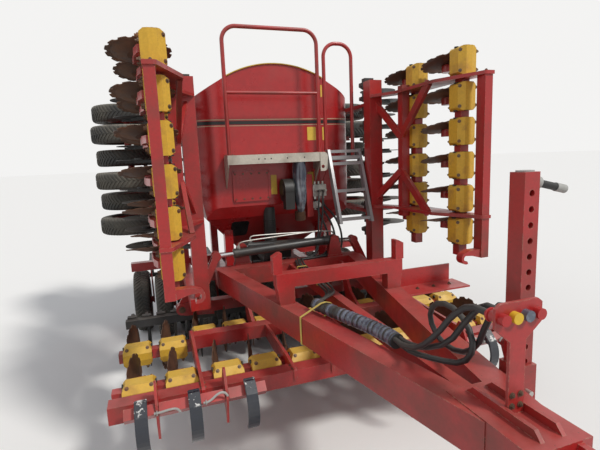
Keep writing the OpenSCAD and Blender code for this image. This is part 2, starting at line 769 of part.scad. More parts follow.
// A hoop of tube that stands in the plane of station y
module hoop(x0, x1, y, z0, z1, r) {
  rod([x0, y, z0], [x0, y, z1 - r], rail_r);
  rod([x1, y, z0], [x1, y, z1 - r], rail_r);
  rod([x0 + r, y, z1], [x1 - r, y, z1], rail_r);
  translate([x0 + r, y, z1 - r]) rotate([90, 0, 0]) rotate([0, 0, 90]) rotate_extrude(angle = 90)
    translate([r, 0]) circle(rail_r);
  translate([x1 - r, y, z1 - r]) rotate([90, 0, 0]) rotate_extrude(angle = 90) translate([r, 0])
    circle(rail_r);
}

module handrails() {
  bend = 120;
  color(RED) translate(home) {
    hoop(deck_x0 + 20, deck_x1 - 20, deck_y0 + 30, deck_z, rail_z, bend);
    rod([deck_x0 + 20, deck_y0 + 30, deck_z + 520], [deck_x1 - 20, deck_y0 + 30, deck_z + 520], rail_r - 3);
    hoop(deck_x1 + 75, deck_x1 + 350, deck_y0 + 105, deck_z - 40, rail_z - 80, bend);
  }
}

// The fan hangs in front of the hopper, wrapped in a sheet
module fan_cover() {
  fan = [150, 1080, 1790];
  fan_r = 100;
  color(BLACK) translate(home) {
    shaft_x(fan, fan_r, 150);
    // The wrapped outlet hangs below it
    front_plate(fan[1] - 75, fan[1] + 75, [[75, fan[2]], [85, fan[2] - 190], [120, fan[2] - 230],
      [190, fan[2] - 225], [222, fan[2] - 180], [225, fan[2]]]);
    block([105, fan[1] + 60, fan[2] - 40], [195, hopper_y0 - seat, fan[2] + 40]);
    block([105, fan[1] - 50, fan[2] + 60], [195, fan[1] + 50, deck_z - deck_sheet - seat]);
  }
}

// Post with the hydraulic valves, between the ram and the platform
module valve_block() {
  post_x = 262;
  post_y = 1145;
  color(STEEL) translate(home) {
    block([post_x - 30, post_y - 20, 1500], [post_x + 30, post_y + 20, 1900]);
    block([post_x - 25, post_y + 19, 1700], [post_x + 25, hopper_y0 - seat, 1860]);
    block([post_x + 29, post_y - 30, 1690], [post_x + 165, post_y + 30, 1800]);
    for (x = [post_x + 60, post_x + 100, post_x + 140]) shaft_y([x, post_y - 20, 1745], 16, 60);
    block([post_x + 29, post_y - 25, 1580], [post_x + 95, post_y + 25, 1640]);
    rod([post_x + 60, post_y, 1560], [post_x + 60, post_y, 1581], 14);
  }
}

tower_y = harrow_y - 390;
pipe_r = 60;
head_r = 210;
head_z = 2300;

module air_system() {
  box_z0 = 1000;
  pipe_z = 1080;
  duct = [-110, 1250];
  duct_r = 55;
  bend = 90;
  color(BLACK) translate(home) {
    difference() {
      union() {
        block([-220, hopper_y0 + 480, box_z0], [220, hopper_y1 - 420, hopper_z0 - seat]);
        // Duct from under the hopper's front down and back into the metering box
        rod([duct[0], duct[1], pipe_z + bend], [duct[0], duct[1], funnel_z + 80], duct_r);
        translate([duct[0], duct[1] + bend, pipe_z + bend]) rotate([90, 0, 90]) rotate([0, 0, 180])
          rotate_extrude(angle = 90) translate([bend, 0]) circle(duct_r);
        rod([duct[0], duct[1] + bend, pipe_z], [duct[0], hopper_y0 + 481, pipe_z], duct_r);
      }
      tank(-seat);
    }
    rod([0, hopper_y1 - 421, pipe_z], [0, tower_y, pipe_z], pipe_r);
    rod([0, tower_y, pipe_z], [0, tower_y, head_z], pipe_r);
    translate([0, tower_y, pipe_z]) sphere(r = pipe_r + 2);
    translate([0, tower_y, head_z - 10]) cylinder(r1 = pipe_r + 10, r2 = head_r, h = 120);
    translate([0, tower_y, head_z + 109]) cylinder(r = head_r, h = 60);
    for (i = [1:24]) rotate_about([0, tower_y, 0], i * 15)
      rod([0, tower_y + head_r - 12, head_z + 139], [0, tower_y + head_r + 40, head_z + 139], 16);
    block([-40, hopper_y1 + seat, head_z - 400], [40, tower_y - pipe_r + 10, head_z - 340]);
  }
}

// Children turned by a degrees about the upright line through c
module rotate_about(c, a) {
  translate(c) rotate([0, 0, a]) translate(-c) children();
}

// Wrapped hose bundle along the drawbar, and the hoses that leave its front end for the rack
bundle_r = 40;
bundle_route = [[-262, -330, 1180], [-200, -540, 1180], [-133, -740, 1180], [-100, -900, 1180],
  [-100, -980, 1180]];
hose_r = 12.5;
hose_1_route = [[-114, -980.3, 1194], [-114, -1060, 1194], [-110, -1170, 1230], [-96, -1270, 1330],
  [-84, -1350, 1440], [-75, -1430, 1500], [-75, -1519.7, 1500]];
hose_2_route = [[-86, -980.3, 1194], [-86, -1040, 1194], [-80, -1150, 1215], [-56, -1290, 1290],
  [-34, -1370, 1420], [-25, -1440, 1500], [-25, -1519.7, 1500]];
hose_3_route = [[-86, -980.3, 1166], [-86, -1080, 1166], [-30, -1190, 1170], [10, -1300, 1195],
  [20, -1350, 1280],
  [25, -1300, 1370], [30, -1180, 1410], [40, -1060, 1370], [55, -1010, 1280], [60, -1080, 1195],
  [60, -1220, 1195],
  [50, -1330, 1270], [40, -1390, 1400], [30, -1450, 1490], [25, -1490, 1500], [25, -1519.7, 1500]];

function unit(v) = v / norm(v);
// A smoother route: each inner point is replaced by two on the legs beside it
function rounded(p) = concat([p[0]], [for (i = [0:len(p) - 2]) each [p[i] * 0.75 + p[i + 1] * 0.25,
  p[i] * 0.25 + p[i + 1] * 0.75]], [p[len(p) - 1]]);
function along(p, i) = unit(p[min(i + 1, len(p) - 1)] - p[max(i - 1, 0)]);

// A tube with n sides; every ring keeps its first corner upward
module swept_tube(p, r, n) {
  points = [for (i = [0:len(p) - 1])
    let (t = along(p, i), side = unit(cross(t, [0, 0, 1])), up = cross(side, t))
      for (k = [0:n - 1]) p[i] + r * (up * cos(360 * k / n) + side * sin(360 * k / n))];
  last = (len(p) - 1) * n;
  walls = [for (i = [0:len(p) - 2]) for (k = [0:n - 1])
    [i * n + k, i * n + (k + 1) % n, (i + 1) * n + (k + 1) % n, (i + 1) * n + k]];
  polyhedron(points, concat([[for (k = [n - 1:-1:0]) k]], walls, [[for (k = [0:n - 1]) last + k]]),
    convexity = 4);
}

module hoses() {
  color(BLACK) translate(home) swept_tube(rounded(rounded(bundle_route)), bundle_r - seat, 12);
}

module free_hose(route) {
  color(BLACK) translate(home) swept_tube(rounded(route), hose_r, 8);
}

// Levelling paddles in front of the centre section

// The stretch of square tube between two places
module paddle_bar(x0, x1) {
  translate([x0, pad_y, pad_z]) rotate([45, 0, 0]) translate([0, -pad_tube / 2, -pad_tube / 2])
    cube([x1 - x0, pad_tube, pad_tube]);
}

module paddle_tube() {
  gap = pad_plate / 2 + side_gap;
  inner = pad_bearing[0] - 230;
  outer = pad_bearing[1] + 170;
  color(RED) translate(home) {
    paddle_bar(-outer, -pad_bearing[1] - gap);
    paddle_bar(-pad_bearing[1] + gap, -pad_bearing[0] - gap);
    paddle_bar(-pad_bearing[0] + gap, -inner);
    for (x = pad_bearing) shaft_x([-x, pad_y, pad_z], pad_pin_r, 2 * gap + 20);
  }
}

module paddles() {
  corner_out = pad_tube * 0.7071 + seat;
  blade_r = 170;
  blade_t = 14;
  centre = [pad_y + 60, pad_z - 80];
  color(BLACK) translate(home)
    for (x = pad_x) {
      // Saddle on the tube's front face
      side_plate(-x, 60, [[pad_y - corner_out, pad_z], [pad_y, pad_z + corner_out],
        [pad_y + 10, pad_z + 74],
        [pad_y - 30, pad_z + 74], [pad_y - 84, pad_z + 20], [pad_y - 96, pad_z - 10]]);
      // Curved blade
      side_plate(-x, 66, concat(arc(centre, blade_r, 112, 226, 12),
        arc(centre, blade_r - blade_t, 226, 112, 12)));
    }
}

// Wings, drawn at work on the right

wing_main_y = 900;
wing_main_z = 910;
wing_main = 120;
wing_rail_x = hinge_x + 140;
wing_rail = 100;
wing_rail_z = hinge_z + 110;
wing_front_y = -194;
wing_front_z = 645;
tie_y = 590;
tie_z = 785;
tie = 70;
wing_plate_x = along_wing([1.26, 5.2]);
wing_beam_x = along_wing([1, 5]);
wing_bar_end = wing_tool_x[wing_tools - 1] + clamp_w / 2;
// K-braces, in pitches from the wing's inner end: front foot, rear foot, joint on the tie tube
braces = [[1.24, 1.46, 2.55], [5.22, 5.10, 3.71]];
brace_w = 60;
brace_t = 30;

// Places along the wing, given in pitches from its inner end
function along_wing(list) = [for (v = list) wing_x0 + v * pitch];

module wing_frame(side) {
  block([wing_rail_x - 50, wing_main_y - wing_main / 2, wing_main_z - wing_main / 2],
    [wing_x1 - 60, wing_main_y + wing_main / 2, wing_main_z + wing_main / 2]);
  block([wing_x0 + 20, wing_front_y - 40, wing_front_z - 31],
    [wing_plate_x[1] + 12, wing_front_y + 40, wing_front_z + 31]);
  for (y = [0, wing_row_2_y])
    block([wing_x0, y - bar / 2, row_z - bar / 2], [wing_bar_end, y + bar / 2, row_z + bar / 2]);
  block([wing_plate_x[0] - 70, tie_y - tie / 2, tie_z - tie / 2],
    [wing_plate_x[1] + 50, tie_y + tie / 2, tie_z + tie / 2]);
  for (x = wing_plate_x)
    side_plate(x, 24, concat([[wing_front_y - 50, wing_front_z - 36]],
      arc([wing_front_y - 26, wing_front_z + 22], 24, 180, 90, 4),
      [[120, tie_z + 55], [tie_y + 40, tie_z + 65], [wing_main_y - 60 + weld, wing_main_z + 58],
        [wing_main_y - 60 + weld, wing_main_z - 58],
        [wing_row_2_y + 60, row_z + 60], [wing_row_2_y + 20, row_z - 20], [0, row_z - 34],
        [wing_front_y + 60, wing_front_z - 36]]));
  k_braces();
  front_hook();
  // The rail that turns on the fold pins
  block([wing_rail_x - 50, wing_main_y - 60, wing_rail_z - 50],
    [wing_rail_x + 50, fold_y[1] + 50, wing_rail_z + 50]);
  block([wing_rail_x + 49, fold_y[1] - 50, wing_rail_z - 50],
    [wing_beam_x[1] + 18, fold_y[1] + 50, wing_rail_z + 50]);
  for (y = fold_y) fold_lug(y);
  // Rear beams over the wheels
  for (x = wing_beam_x)
    block([x - 18, wing_main_y + 50, wing_rail_z - 50], [x + 18, carrier_y0 - seat, wing_rail_z + 50]);
  // Ears for the fold ram's eye
  for (t = [-1, 1]) {
    ly = ram_mid_y + side * ram_off + t * (ram_eye_w / 2 + 8 + 6);
    eye = [hinge_x + ram_tip[2] - hinge_z, ly, hinge_z + hinge_x - ram_tip[0]];
    beam([wing_rail_x + 30, ly, wing_rail_z + 40], eye, 12, 60);
    shaft_y(eye, 40, 12);
  }
}

// Beam behind the wing's rear beams that carries its press wheels
module wing_carrier() {
  block([wing_x0, carrier_y0, carrier_z0], [wing_x1 - 20, carrier_y0 + carrier, carrier_z0 + carrier]);
  for (x = wing_wheel_1) wheel_arm(x, axle_1_y);
  for (x = wing_wheel_2) wheel_arm(x, axle_1_y + axle_step);
}

// One lug of the wing on its fold pin
module fold_lug(y) {
  difference() {
    union() {
      front_plate(y - lug_t / 2, y + lug_t / 2, [[hinge_x - 30, hinge_z + 35], [hinge_x + 30, hinge_z - 35],
        [wing_rail_x + 45, wing_rail_z - 49], [wing_rail_x - 49, wing_rail_z + 20]]);
      shaft_y([hinge_x, y, hinge_z], 46, lug_t);
    }
    shaft_y([hinge_x, y, hinge_z], hinge_pin_r + fit_gap, lug_t + 2);
  }
}

// Braces in a K from the front plates and the main tube to the top of the tie tube
module k_braces() {
  top = tie_z + tie / 2 - brace_t / 2 + 3;
  for (b = braces) {
    x = along_wing(b);
    beam([x[0], 190, top + 14], [x[2], tie_y, top], brace_w, brace_t);
    beam([x[1], wing_main_y, wing_main_z], [x[2], tie_y, top], brace_w, brace_t);
  }
}

// Hook at the inner end of the wing's front tube, which holds the folded wing
module front_hook() {
  x = wing_x0 + 20;
  front_plate(wing_front_y - 30, wing_front_y + 30, concat(
    [[x, wing_front_z - 31], [x + 60, wing_front_z - 31], [x + 60, wing_front_z + 120]],
    arc([x + 5, wing_front_z + 150], 42, 20, 200, 8), arc([x + 5, wing_front_z + 150], 22, 200, 20, 8),
    [[x + 20, wing_front_z + 100], [x, wing_front_z + 31]]));
}

module wing_clamps() {
  for (x = wing_tool_x)
    for (y = [0, wing_row_2_y]) clamp_cover(x, y);
}

module wing_arms() {
  for (x = wing_tool_x)
    for (y = [0, wing_row_2_y]) disc_arm(x, y);
}

module wing_discs() {
  for (x = wing_tool_x)
    for (y = [0, wing_row_2_y]) disc(x, y);
}

module wing_coulters() {
  for (i = [0:2 * wing_tools - 1])
    coulter(wing_x0 + (i + 0.5) * coulter_pitch, wing_main_y + wing_main / 2, wing_main_z,
      400 + 160 * (i % 2));
}

module wing_harrow() {
  harrow(wing_x0, wing_x1 - 10, wing_beam_x);
}

// Fold rams, drawn for the right wing at rest along their own line

module ram_place(s) {
  base = [-ram_base_x, ram_mid_y + ram_off, ram_base_z];
  d = [ram_tip[0] + ram_base_x, 0, ram_tip[2] - ram_base_z];
  tilt = [0, -atan2(d[2], d[0]), 0];
  translate(home) if (s > 0) translate(base) rotate(tilt) children();
  else translate([0, 2 * ram_mid_y, 0]) rotate([0, 0, 180]) translate(base) rotate(tilt) children();
}

ram_len = norm([ram_tip[0] + ram_base_x, 0, ram_tip[2] - ram_base_z]);
ram_eye_r = 34;

module ram_barrel() {
  difference() {
    union() {
      shaft_y([0, 0, 0], ram_eye_r, ram_eye_w);
      rotate([0, 90, 0]) cylinder(r = ram_r, h = ram_barrel_len);
      for (x = [60, ram_barrel_len - 50]) translate([x, 0, 0]) rotate([0, 90, 0])
        cylinder(r = ram_r + 5, h = 45);
    }
    shaft_y([0, 0, 0], ram_pin_r + fit_gap, 100);
    translate([45, 0, 0]) rotate([0, 90, 0]) cylinder(r = ram_rod_r + fit_gap, h = ram_barrel_len);
    // Flats beside the eye
    for (t = [-1, 1]) translate([-50, t * (ram_eye_w / 2 + 50) - 50, -50]) cube([105, 100, 100]);
  }
}

module ram_rod() {
  translate([50, 0, 0]) rotate([0, 90, 0]) cylinder(r = ram_rod_r, h = ram_len - 75);
  shaft_y([ram_len, 0, 0], ram_eye_r, ram_eye_w);
}

// Rows of press wheels: centre section and wings
module mid_wheels(row_x, y) {
  translate(home) both() for (x = row_x) translate([x, y, 0]) children();
}

module wing_wheels(side, row_x, y) {
  on_wing(side) for (x = row_x) translate([x, y, 0]) children();
}

axle_2_y = axle_1_y + axle_step;

main_frame();
mid_carrier();
drawbar();
rest_frame();
row_bars();
clamps_mid();
arms_mid();
discs_mid();
coulters_mid();
harrow_mid();
hopper();
hopper_cover();
platform();
ladder();
handrails();
fan_cover();
valve_block();
air_system();
hoses();
free_hose(hose_1_route);  // hose_1
free_hose(hose_2_route);  // hose_2
free_hose(hose_3_route);  // hose_3
jack_leg();
paddle_tube();  // paddle_tube_l
paddles();  // paddles_l
mirror([1, 0, 0]) paddle_tube();  // paddle_tube_r
mirror([1, 0, 0]) paddles();  // paddles_r
color(RED) on_wing(-1) wing_frame(-1);  // wing_frame_l
color(RED) on_wing(-1) wing_carrier();  // wing_carrier_l
color(YELLOW) on_wing(-1) wing_clamps();  // wing_clamps_l
color(RED) on_wing(-1) wing_arms();  // wing_arms_l
color(RUST) on_wing(-1) wing_discs();  // wing_discs_l
color(BLACK) on_wing(-1) wing_coulters();  // wing_coulters_l
color(BLACK) on_wing(-1) wing_harrow();  // wing_harrow_l
color(RED) on_wing(1) wing_frame(1);  // wing_frame_r
color(RED) on_wing(1) wing_carrier();  // wing_carrier_r
color(YELLOW) on_wing(1) wing_clamps();  // wing_clamps_r
color(RED) on_wing(1) wing_arms();  // wing_arms_r
color(RUST) on_wing(1) wing_discs();  // wing_discs_r
color(BLACK) on_wing(1) wing_coulters();  // wing_coulters_r
color(BLACK) on_wing(1) wing_harrow();  // wing_harrow_r
color(RUBBER) mid_wheels(mid_wheel_1, axle_1_y) tyre();  // tyres_1_mid
color(RED) mid_wheels(mid_wheel_1, axle_1_y) hub();  // hubs_1_mid
color(RUBBER) mid_wheels(mid_wheel_2, axle_2_y) tyre();  // tyres_2_mid
color(RED) mid_wheels(mid_wheel_2, axle_2_y) hub();  // hubs_2_mid
color(RUBBER) wing_wheels(-1, wing_wheel_1, axle_1_y) tyre();  // tyres_1_l
color(RED) wing_wheels(-1, wing_wheel_1, axle_1_y) hub();  // hubs_1_l
color(RUBBER) wing_wheels(-1, wing_wheel_2, axle_2_y) tyre();  // tyres_2_l
color(RED) wing_wheels(-1, wing_wheel_2, axle_2_y) hub();  // hubs_2_l
color(RUBBER) wing_wheels(1, wing_wheel_1, axle_1_y) tyre();  // tyres_1_r
color(RED) wing_wheels(1, wing_wheel_1, axle_1_y) hub();  // hubs_1_r
color(RUBBER) wing_wheels(1, wing_wheel_2, axle_2_y) tyre();  // tyres_2_r
color(RED) wing_wheels(1, wing_wheel_2, axle_2_y) hub();  // hubs_2_r
ram_base(-1);  // ram_base_l
color(BLACK) ram_place(-1) ram_barrel();  // ram_barrel_l
color(STEEL) ram_place(-1) ram_rod();  // ram_rod_l
ram_base(1);  // ram_base_r
color(BLACK) ram_place(1) ram_barrel();  // ram_barrel_r
color(STEEL) ram_place(1) ram_rod();  // ram_rod_r
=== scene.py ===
"""Looks of the folded seed drill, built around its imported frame. All lengths are metres."""
import json
import math

import bmesh
import bpy
from mathutils import Matrix, Vector, noise


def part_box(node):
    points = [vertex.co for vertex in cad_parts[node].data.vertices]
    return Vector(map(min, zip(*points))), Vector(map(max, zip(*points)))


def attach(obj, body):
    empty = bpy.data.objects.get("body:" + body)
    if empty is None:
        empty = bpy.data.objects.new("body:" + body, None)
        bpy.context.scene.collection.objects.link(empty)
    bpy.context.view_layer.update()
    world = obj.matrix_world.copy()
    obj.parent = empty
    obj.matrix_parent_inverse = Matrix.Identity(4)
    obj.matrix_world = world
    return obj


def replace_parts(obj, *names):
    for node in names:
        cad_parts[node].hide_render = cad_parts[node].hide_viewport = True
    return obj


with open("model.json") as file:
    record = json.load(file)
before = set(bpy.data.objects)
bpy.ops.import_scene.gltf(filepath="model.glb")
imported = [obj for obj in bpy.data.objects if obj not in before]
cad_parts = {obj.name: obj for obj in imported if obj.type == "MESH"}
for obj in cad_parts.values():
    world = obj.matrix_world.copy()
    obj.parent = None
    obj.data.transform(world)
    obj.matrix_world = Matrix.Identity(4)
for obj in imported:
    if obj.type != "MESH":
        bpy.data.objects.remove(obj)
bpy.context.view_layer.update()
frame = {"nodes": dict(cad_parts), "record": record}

# Places shared with the frame. A station is the distance behind the front disc row
MID_STATION = 1.0675
PITCH = 0.25
CENTRE_HALF = 6 * PITCH
WING_END = 12 * PITCH
SECOND_ROW = 0.7
SECOND_ROW_OUTER = 0.564
HINGE_X, HINGE_Z = 0.98, 0.75
ROW_Z = 0.672
CLAMP_W = 0.196
TYRE_R = 0.37
TYRE_W = 0.19
RIM_R = 0.2253
AXLES = {"1": 2.62, "2": 2.90}
HARROW_Y, HARROW_Z = 3.56, 0.52
HOPPER_FRONT = 1.2
HOPPER_HALF = 0.76
HOPPER_CORNER = 0.2
SIDES = {"l": -1, "r": 1}


def at(x, station, z):
    return Vector((x, station - MID_STATION, z))


def on_wing(side):
    """Place on the folded wing, given as it would be at work: side is 1 or -1."""
    def place(x, station, z):
        return Vector((side * (HINGE_X + HINGE_Z - z), station - MID_STATION, x + HINGE_Z - HINGE_X))
    return place


def pitches(*counts):
    return [PITCH * k for k in counts]


def mirrored(*counts):
    """The same on both sides."""
    return [s * x for x in pitches(*counts) for s in (1, -1)]


# Each section's body, and what turns a place at work into one in the frame
SECTIONS = {"mid": ("root", at), "l": ("wing_l", on_wing(-1)), "r": ("wing_r", on_wing(1))}
# Tools as (x, station), and wheels as x by row
MID_TOOLS = [(x, 0.0) for x in [0.0] + mirrored(1, 2.08, 3.08, 4.24, 5.24)]
MID_TOOLS += [(x, SECOND_ROW) for x in mirrored(0.44, 1.36, 2.36, 3.36)]
MID_TOOLS += [(x, SECOND_ROW_OUTER) for x in mirrored(4.36, 5.36)]
WING_ROWS = (0.0, SECOND_ROW_OUTER)
WING_TOOLS = [(CENTRE_HALF + (0.76 + 0.98 * i) * PITCH, y) for i in range(6) for y in WING_ROWS]
MID_WHEELS = {"1": mirrored(0.5, 2.5, 4.5), "2": mirrored(1.5, 3.5, 5.5)}
WING_WHEELS = {"1": pitches(6.5, 8.5, 10.5), "2": pitches(7.5, 9.5, 11.5)}

# Camera, solved from the pitch of the disc rows
CAM_AT = (-1.108, -3.6855, 2.047)
CAM_YAW = 18.594
CAM_PITCH = 8.894
CAM_ROLL = 2.475
CAM_LENS = 25.34
CAM_SENSOR = 36


def add_camera():
    yaw, pitch, roll = (math.radians(v) for v in (CAM_YAW, CAM_PITCH, CAM_ROLL))
    look = Vector((math.sin(yaw) * math.cos(pitch), math.cos(yaw) * math.cos(pitch), -math.sin(pitch)))
    level = Vector((math.cos(yaw), -math.sin(yaw), 0))
    above = level.cross(look)
    up = above * math.cos(roll) + level * math.sin(roll)
    right = level * math.cos(roll) - above * math.sin(roll)
    data = bpy.data.cameras.new("photo_camera")
    data.lens = CAM_LENS
    data.sensor_width = CAM_SENSOR
    cam = bpy.data.objects.new("photo_camera", data)
    turn = Matrix((right, up, -look)).transposed()
    cam.matrix_world = Matrix.Translation(CAM_AT) @ turn.to_4x4()
    bpy.context.scene.collection.objects.link(cam)
    bpy.context.scene.camera = cam


# Node helpers

def mix_rgb(nt, fac, a, b):
    """Colour a where fac is 0 and b where it is 1. Each is a number, a colour or a socket."""
    m = nt.nodes.new("ShaderNodeMix")
    m.data_type = "RGBA"
    for sock, val in ((m.inputs[0], fac), (m.inputs[6], a), (m.inputs[7], b)):
        if hasattr(val, "is_output"):
            nt.links.new(val, sock)
        elif isinstance(val, (int, float)):
            sock.default_value = val
        else:
            sock.default_value = (*val, 1)
    return m.outputs[2]


def ramp(nt, source, lo, hi, out_lo=0.0, out_hi=1.0):
    m = nt.nodes.new("ShaderNodeMapRange")
    nt.links.new(source, m.inputs[0])
    for i, v in enumerate((lo, hi, out_lo, out_hi)):
        m.inputs[i + 1].default_value = v
    return m.outputs[0]


def maths(nt, operation, a, b):
    m = nt.nodes.new("ShaderNodeMath")
    m.operation = operation
    nt.links.new(a, m.inputs[0])
    nt.links.new(b, m.inputs[1])
    return m.outputs[0]


def noise_tex(nt, scale, detail=3, rough=0.55, stretch=(1, 1, 1)):
    co = nt.nodes.new("ShaderNodeTexCoord")
    mp = nt.nodes.new("ShaderNodeMapping")
    mp.inputs["Scale"].default_value = stretch
    nt.links.new(co.outputs["Object"], mp.inputs[0])
    n = nt.nodes.new("ShaderNodeTexNoise")
    n.inputs["Scale"].default_value = scale
    n.inputs["Detail"].default_value = detail
    n.inputs["Roughness"].default_value = rough
    nt.links.new(mp.outputs[0], n.inputs["Vector"])
    return n.outputs["Fac"]


def axis_share(nt, source, axis, low, high):
    """0 below low and 1 above high along one axis of a vector: 0 is X, 2 is Z."""
    split = nt.nodes.new("ShaderNodeSeparateXYZ")
    nt.links.new(source, split.inputs[0])
    return ramp(nt, split.outputs[axis], low, high)


def place_share(nt, axis, low, high):
    """The same for places in the object's own axes."""
    return axis_share(nt, nt.nodes.new("ShaderNodeTexCoord").outputs["Object"], axis, low, high)


def facing_up(nt):
    """1 on level tops, 0 on walls and undersides."""
    return axis_share(nt, nt.nodes.new("ShaderNodeNewGeometry").outputs["Normal"], 2, 0.35, 0.95)


def edges(nt, width):
    """1 along outer and inner edges, 0 on the faces between them."""
    bevel = nt.nodes.new("ShaderNodeBevel")
    bevel.samples = 3
    bevel.inputs["Radius"].default_value = width
    geo = nt.nodes.new("ShaderNodeNewGeometry")
    dot = nt.nodes.new("ShaderNodeVectorMath")
    dot.operation = "DOT_PRODUCT"
    nt.links.new(bevel.outputs[0], dot.inputs[0])
    nt.links.new(geo.outputs["Normal"], dot.inputs[1])
    return ramp(nt, dot.outputs["Value"], 0.97, 0.80)


# Finishes

def new_material(name):
    """A material with its node tree and its surface node."""
    mat = bpy.data.materials.new(name)
    mat.use_nodes = True
    return mat, mat.node_tree, mat.node_tree.nodes["Principled BSDF"]


def lighter_top(nt, tone, colour, most):
    """A lighter colour on level tops, in clouds of up to the share most."""
    clouds = ramp(nt, noise_tex(nt, 9, 4, 0.6), 0.3, 0.62, most * 0.35, most)
    return mix_rgb(nt, maths(nt, "MULTIPLY", facing_up(nt), clouds), tone, colour)


def rubbed_rim(nt, tone, colour, width):
    """Paint rubbed off in a broken line along the edges, with darker spots in it."""
    broken = ramp(nt, noise_tex(nt, 34, 4, 0.7), 0.44, 0.56)
    dark = tuple(c * 0.3 for c in colour)
    bare = mix_rgb(nt, ramp(nt, noise_tex(nt, 90, 2), 0.45, 0.6), colour, dark)
    return mix_rgb(nt, maths(nt, "MULTIPLY", edges(nt, width), broken), tone, bare)


def chipped(nt, tone, colour, cut, scale, above):
    """Spots of another colour, on the whole surface or above a height given as a soft step."""
    spots = ramp(nt, noise_tex(nt, scale, 4, 0.7), *cut)
    if above:
        spots = maths(nt, "MULTIPLY", spots, place_share(nt, 2, *above))
    return mix_rgb(nt, spots, tone, colour)


def worn(name, colour, dust_and_sheen, rough=(0.3, 0.6), metal=0.0, coat=0.0, dirt_and_sheen_cut=(0.5, 0.75), dirt_and_sheen_scale=3.0,
         grain=60.0, bump=0.15, stretch=(1, 1, 1), top=None, top_share=0.5, rim=None, rim_width=0.004,
         chips=None, chip_cut=(0.70, 0.74), chip_scale=28.0, chip_above=None):
    """A finish with drifting clouds of dust and painted sheen and fine grain, and with a lighter top,
    rubbed rims and chips if asked.
    """
    mat, nt, b = new_material(name)
    b.inputs["Metallic"].default_value = metal
    b.inputs["Coat Weight"].default_value = coat
    b.inputs["Coat Roughness"].default_value = 0.25
    drift = noise_tex(nt, dirt_and_sheen_scale, 5, 0.62, stretch)
    fine = noise_tex(nt, grain, 2)
    darker = tuple(c * 0.92 for c in colour)
    lighter = tuple(min(1, c * 1.06) for c in colour)
    tone = mix_rgb(nt, ramp(nt, fine, 0.3, 0.7), darker, lighter)
    # Clouds of the dust colour: dust and dirt, and on the black film partly painted sheen
    tone = mix_rgb(nt, ramp(nt, drift, *dirt_and_sheen_cut), tone, dust_and_sheen)
    if top:
        tone = lighter_top(nt, tone, top, top_share)
    if rim:
        tone = rubbed_rim(nt, tone, rim, rim_width)
    if chips:
        tone = chipped(nt, tone, chips, chip_cut, chip_scale, chip_above)
    nt.links.new(tone, b.inputs["Base Color"])
    nt.links.new(ramp(nt, drift, 0.35, 0.7, *rough), b.inputs["Roughness"])
    relief = nt.nodes.new("ShaderNodeBump")
    relief.inputs["Strength"].default_value = bump
    relief.inputs["Distance"].default_value = 0.002
    nt.links.new(fine, relief.inputs["Height"])
    nt.links.new(relief.outputs[0], b.inputs["Normal"])
    return mat


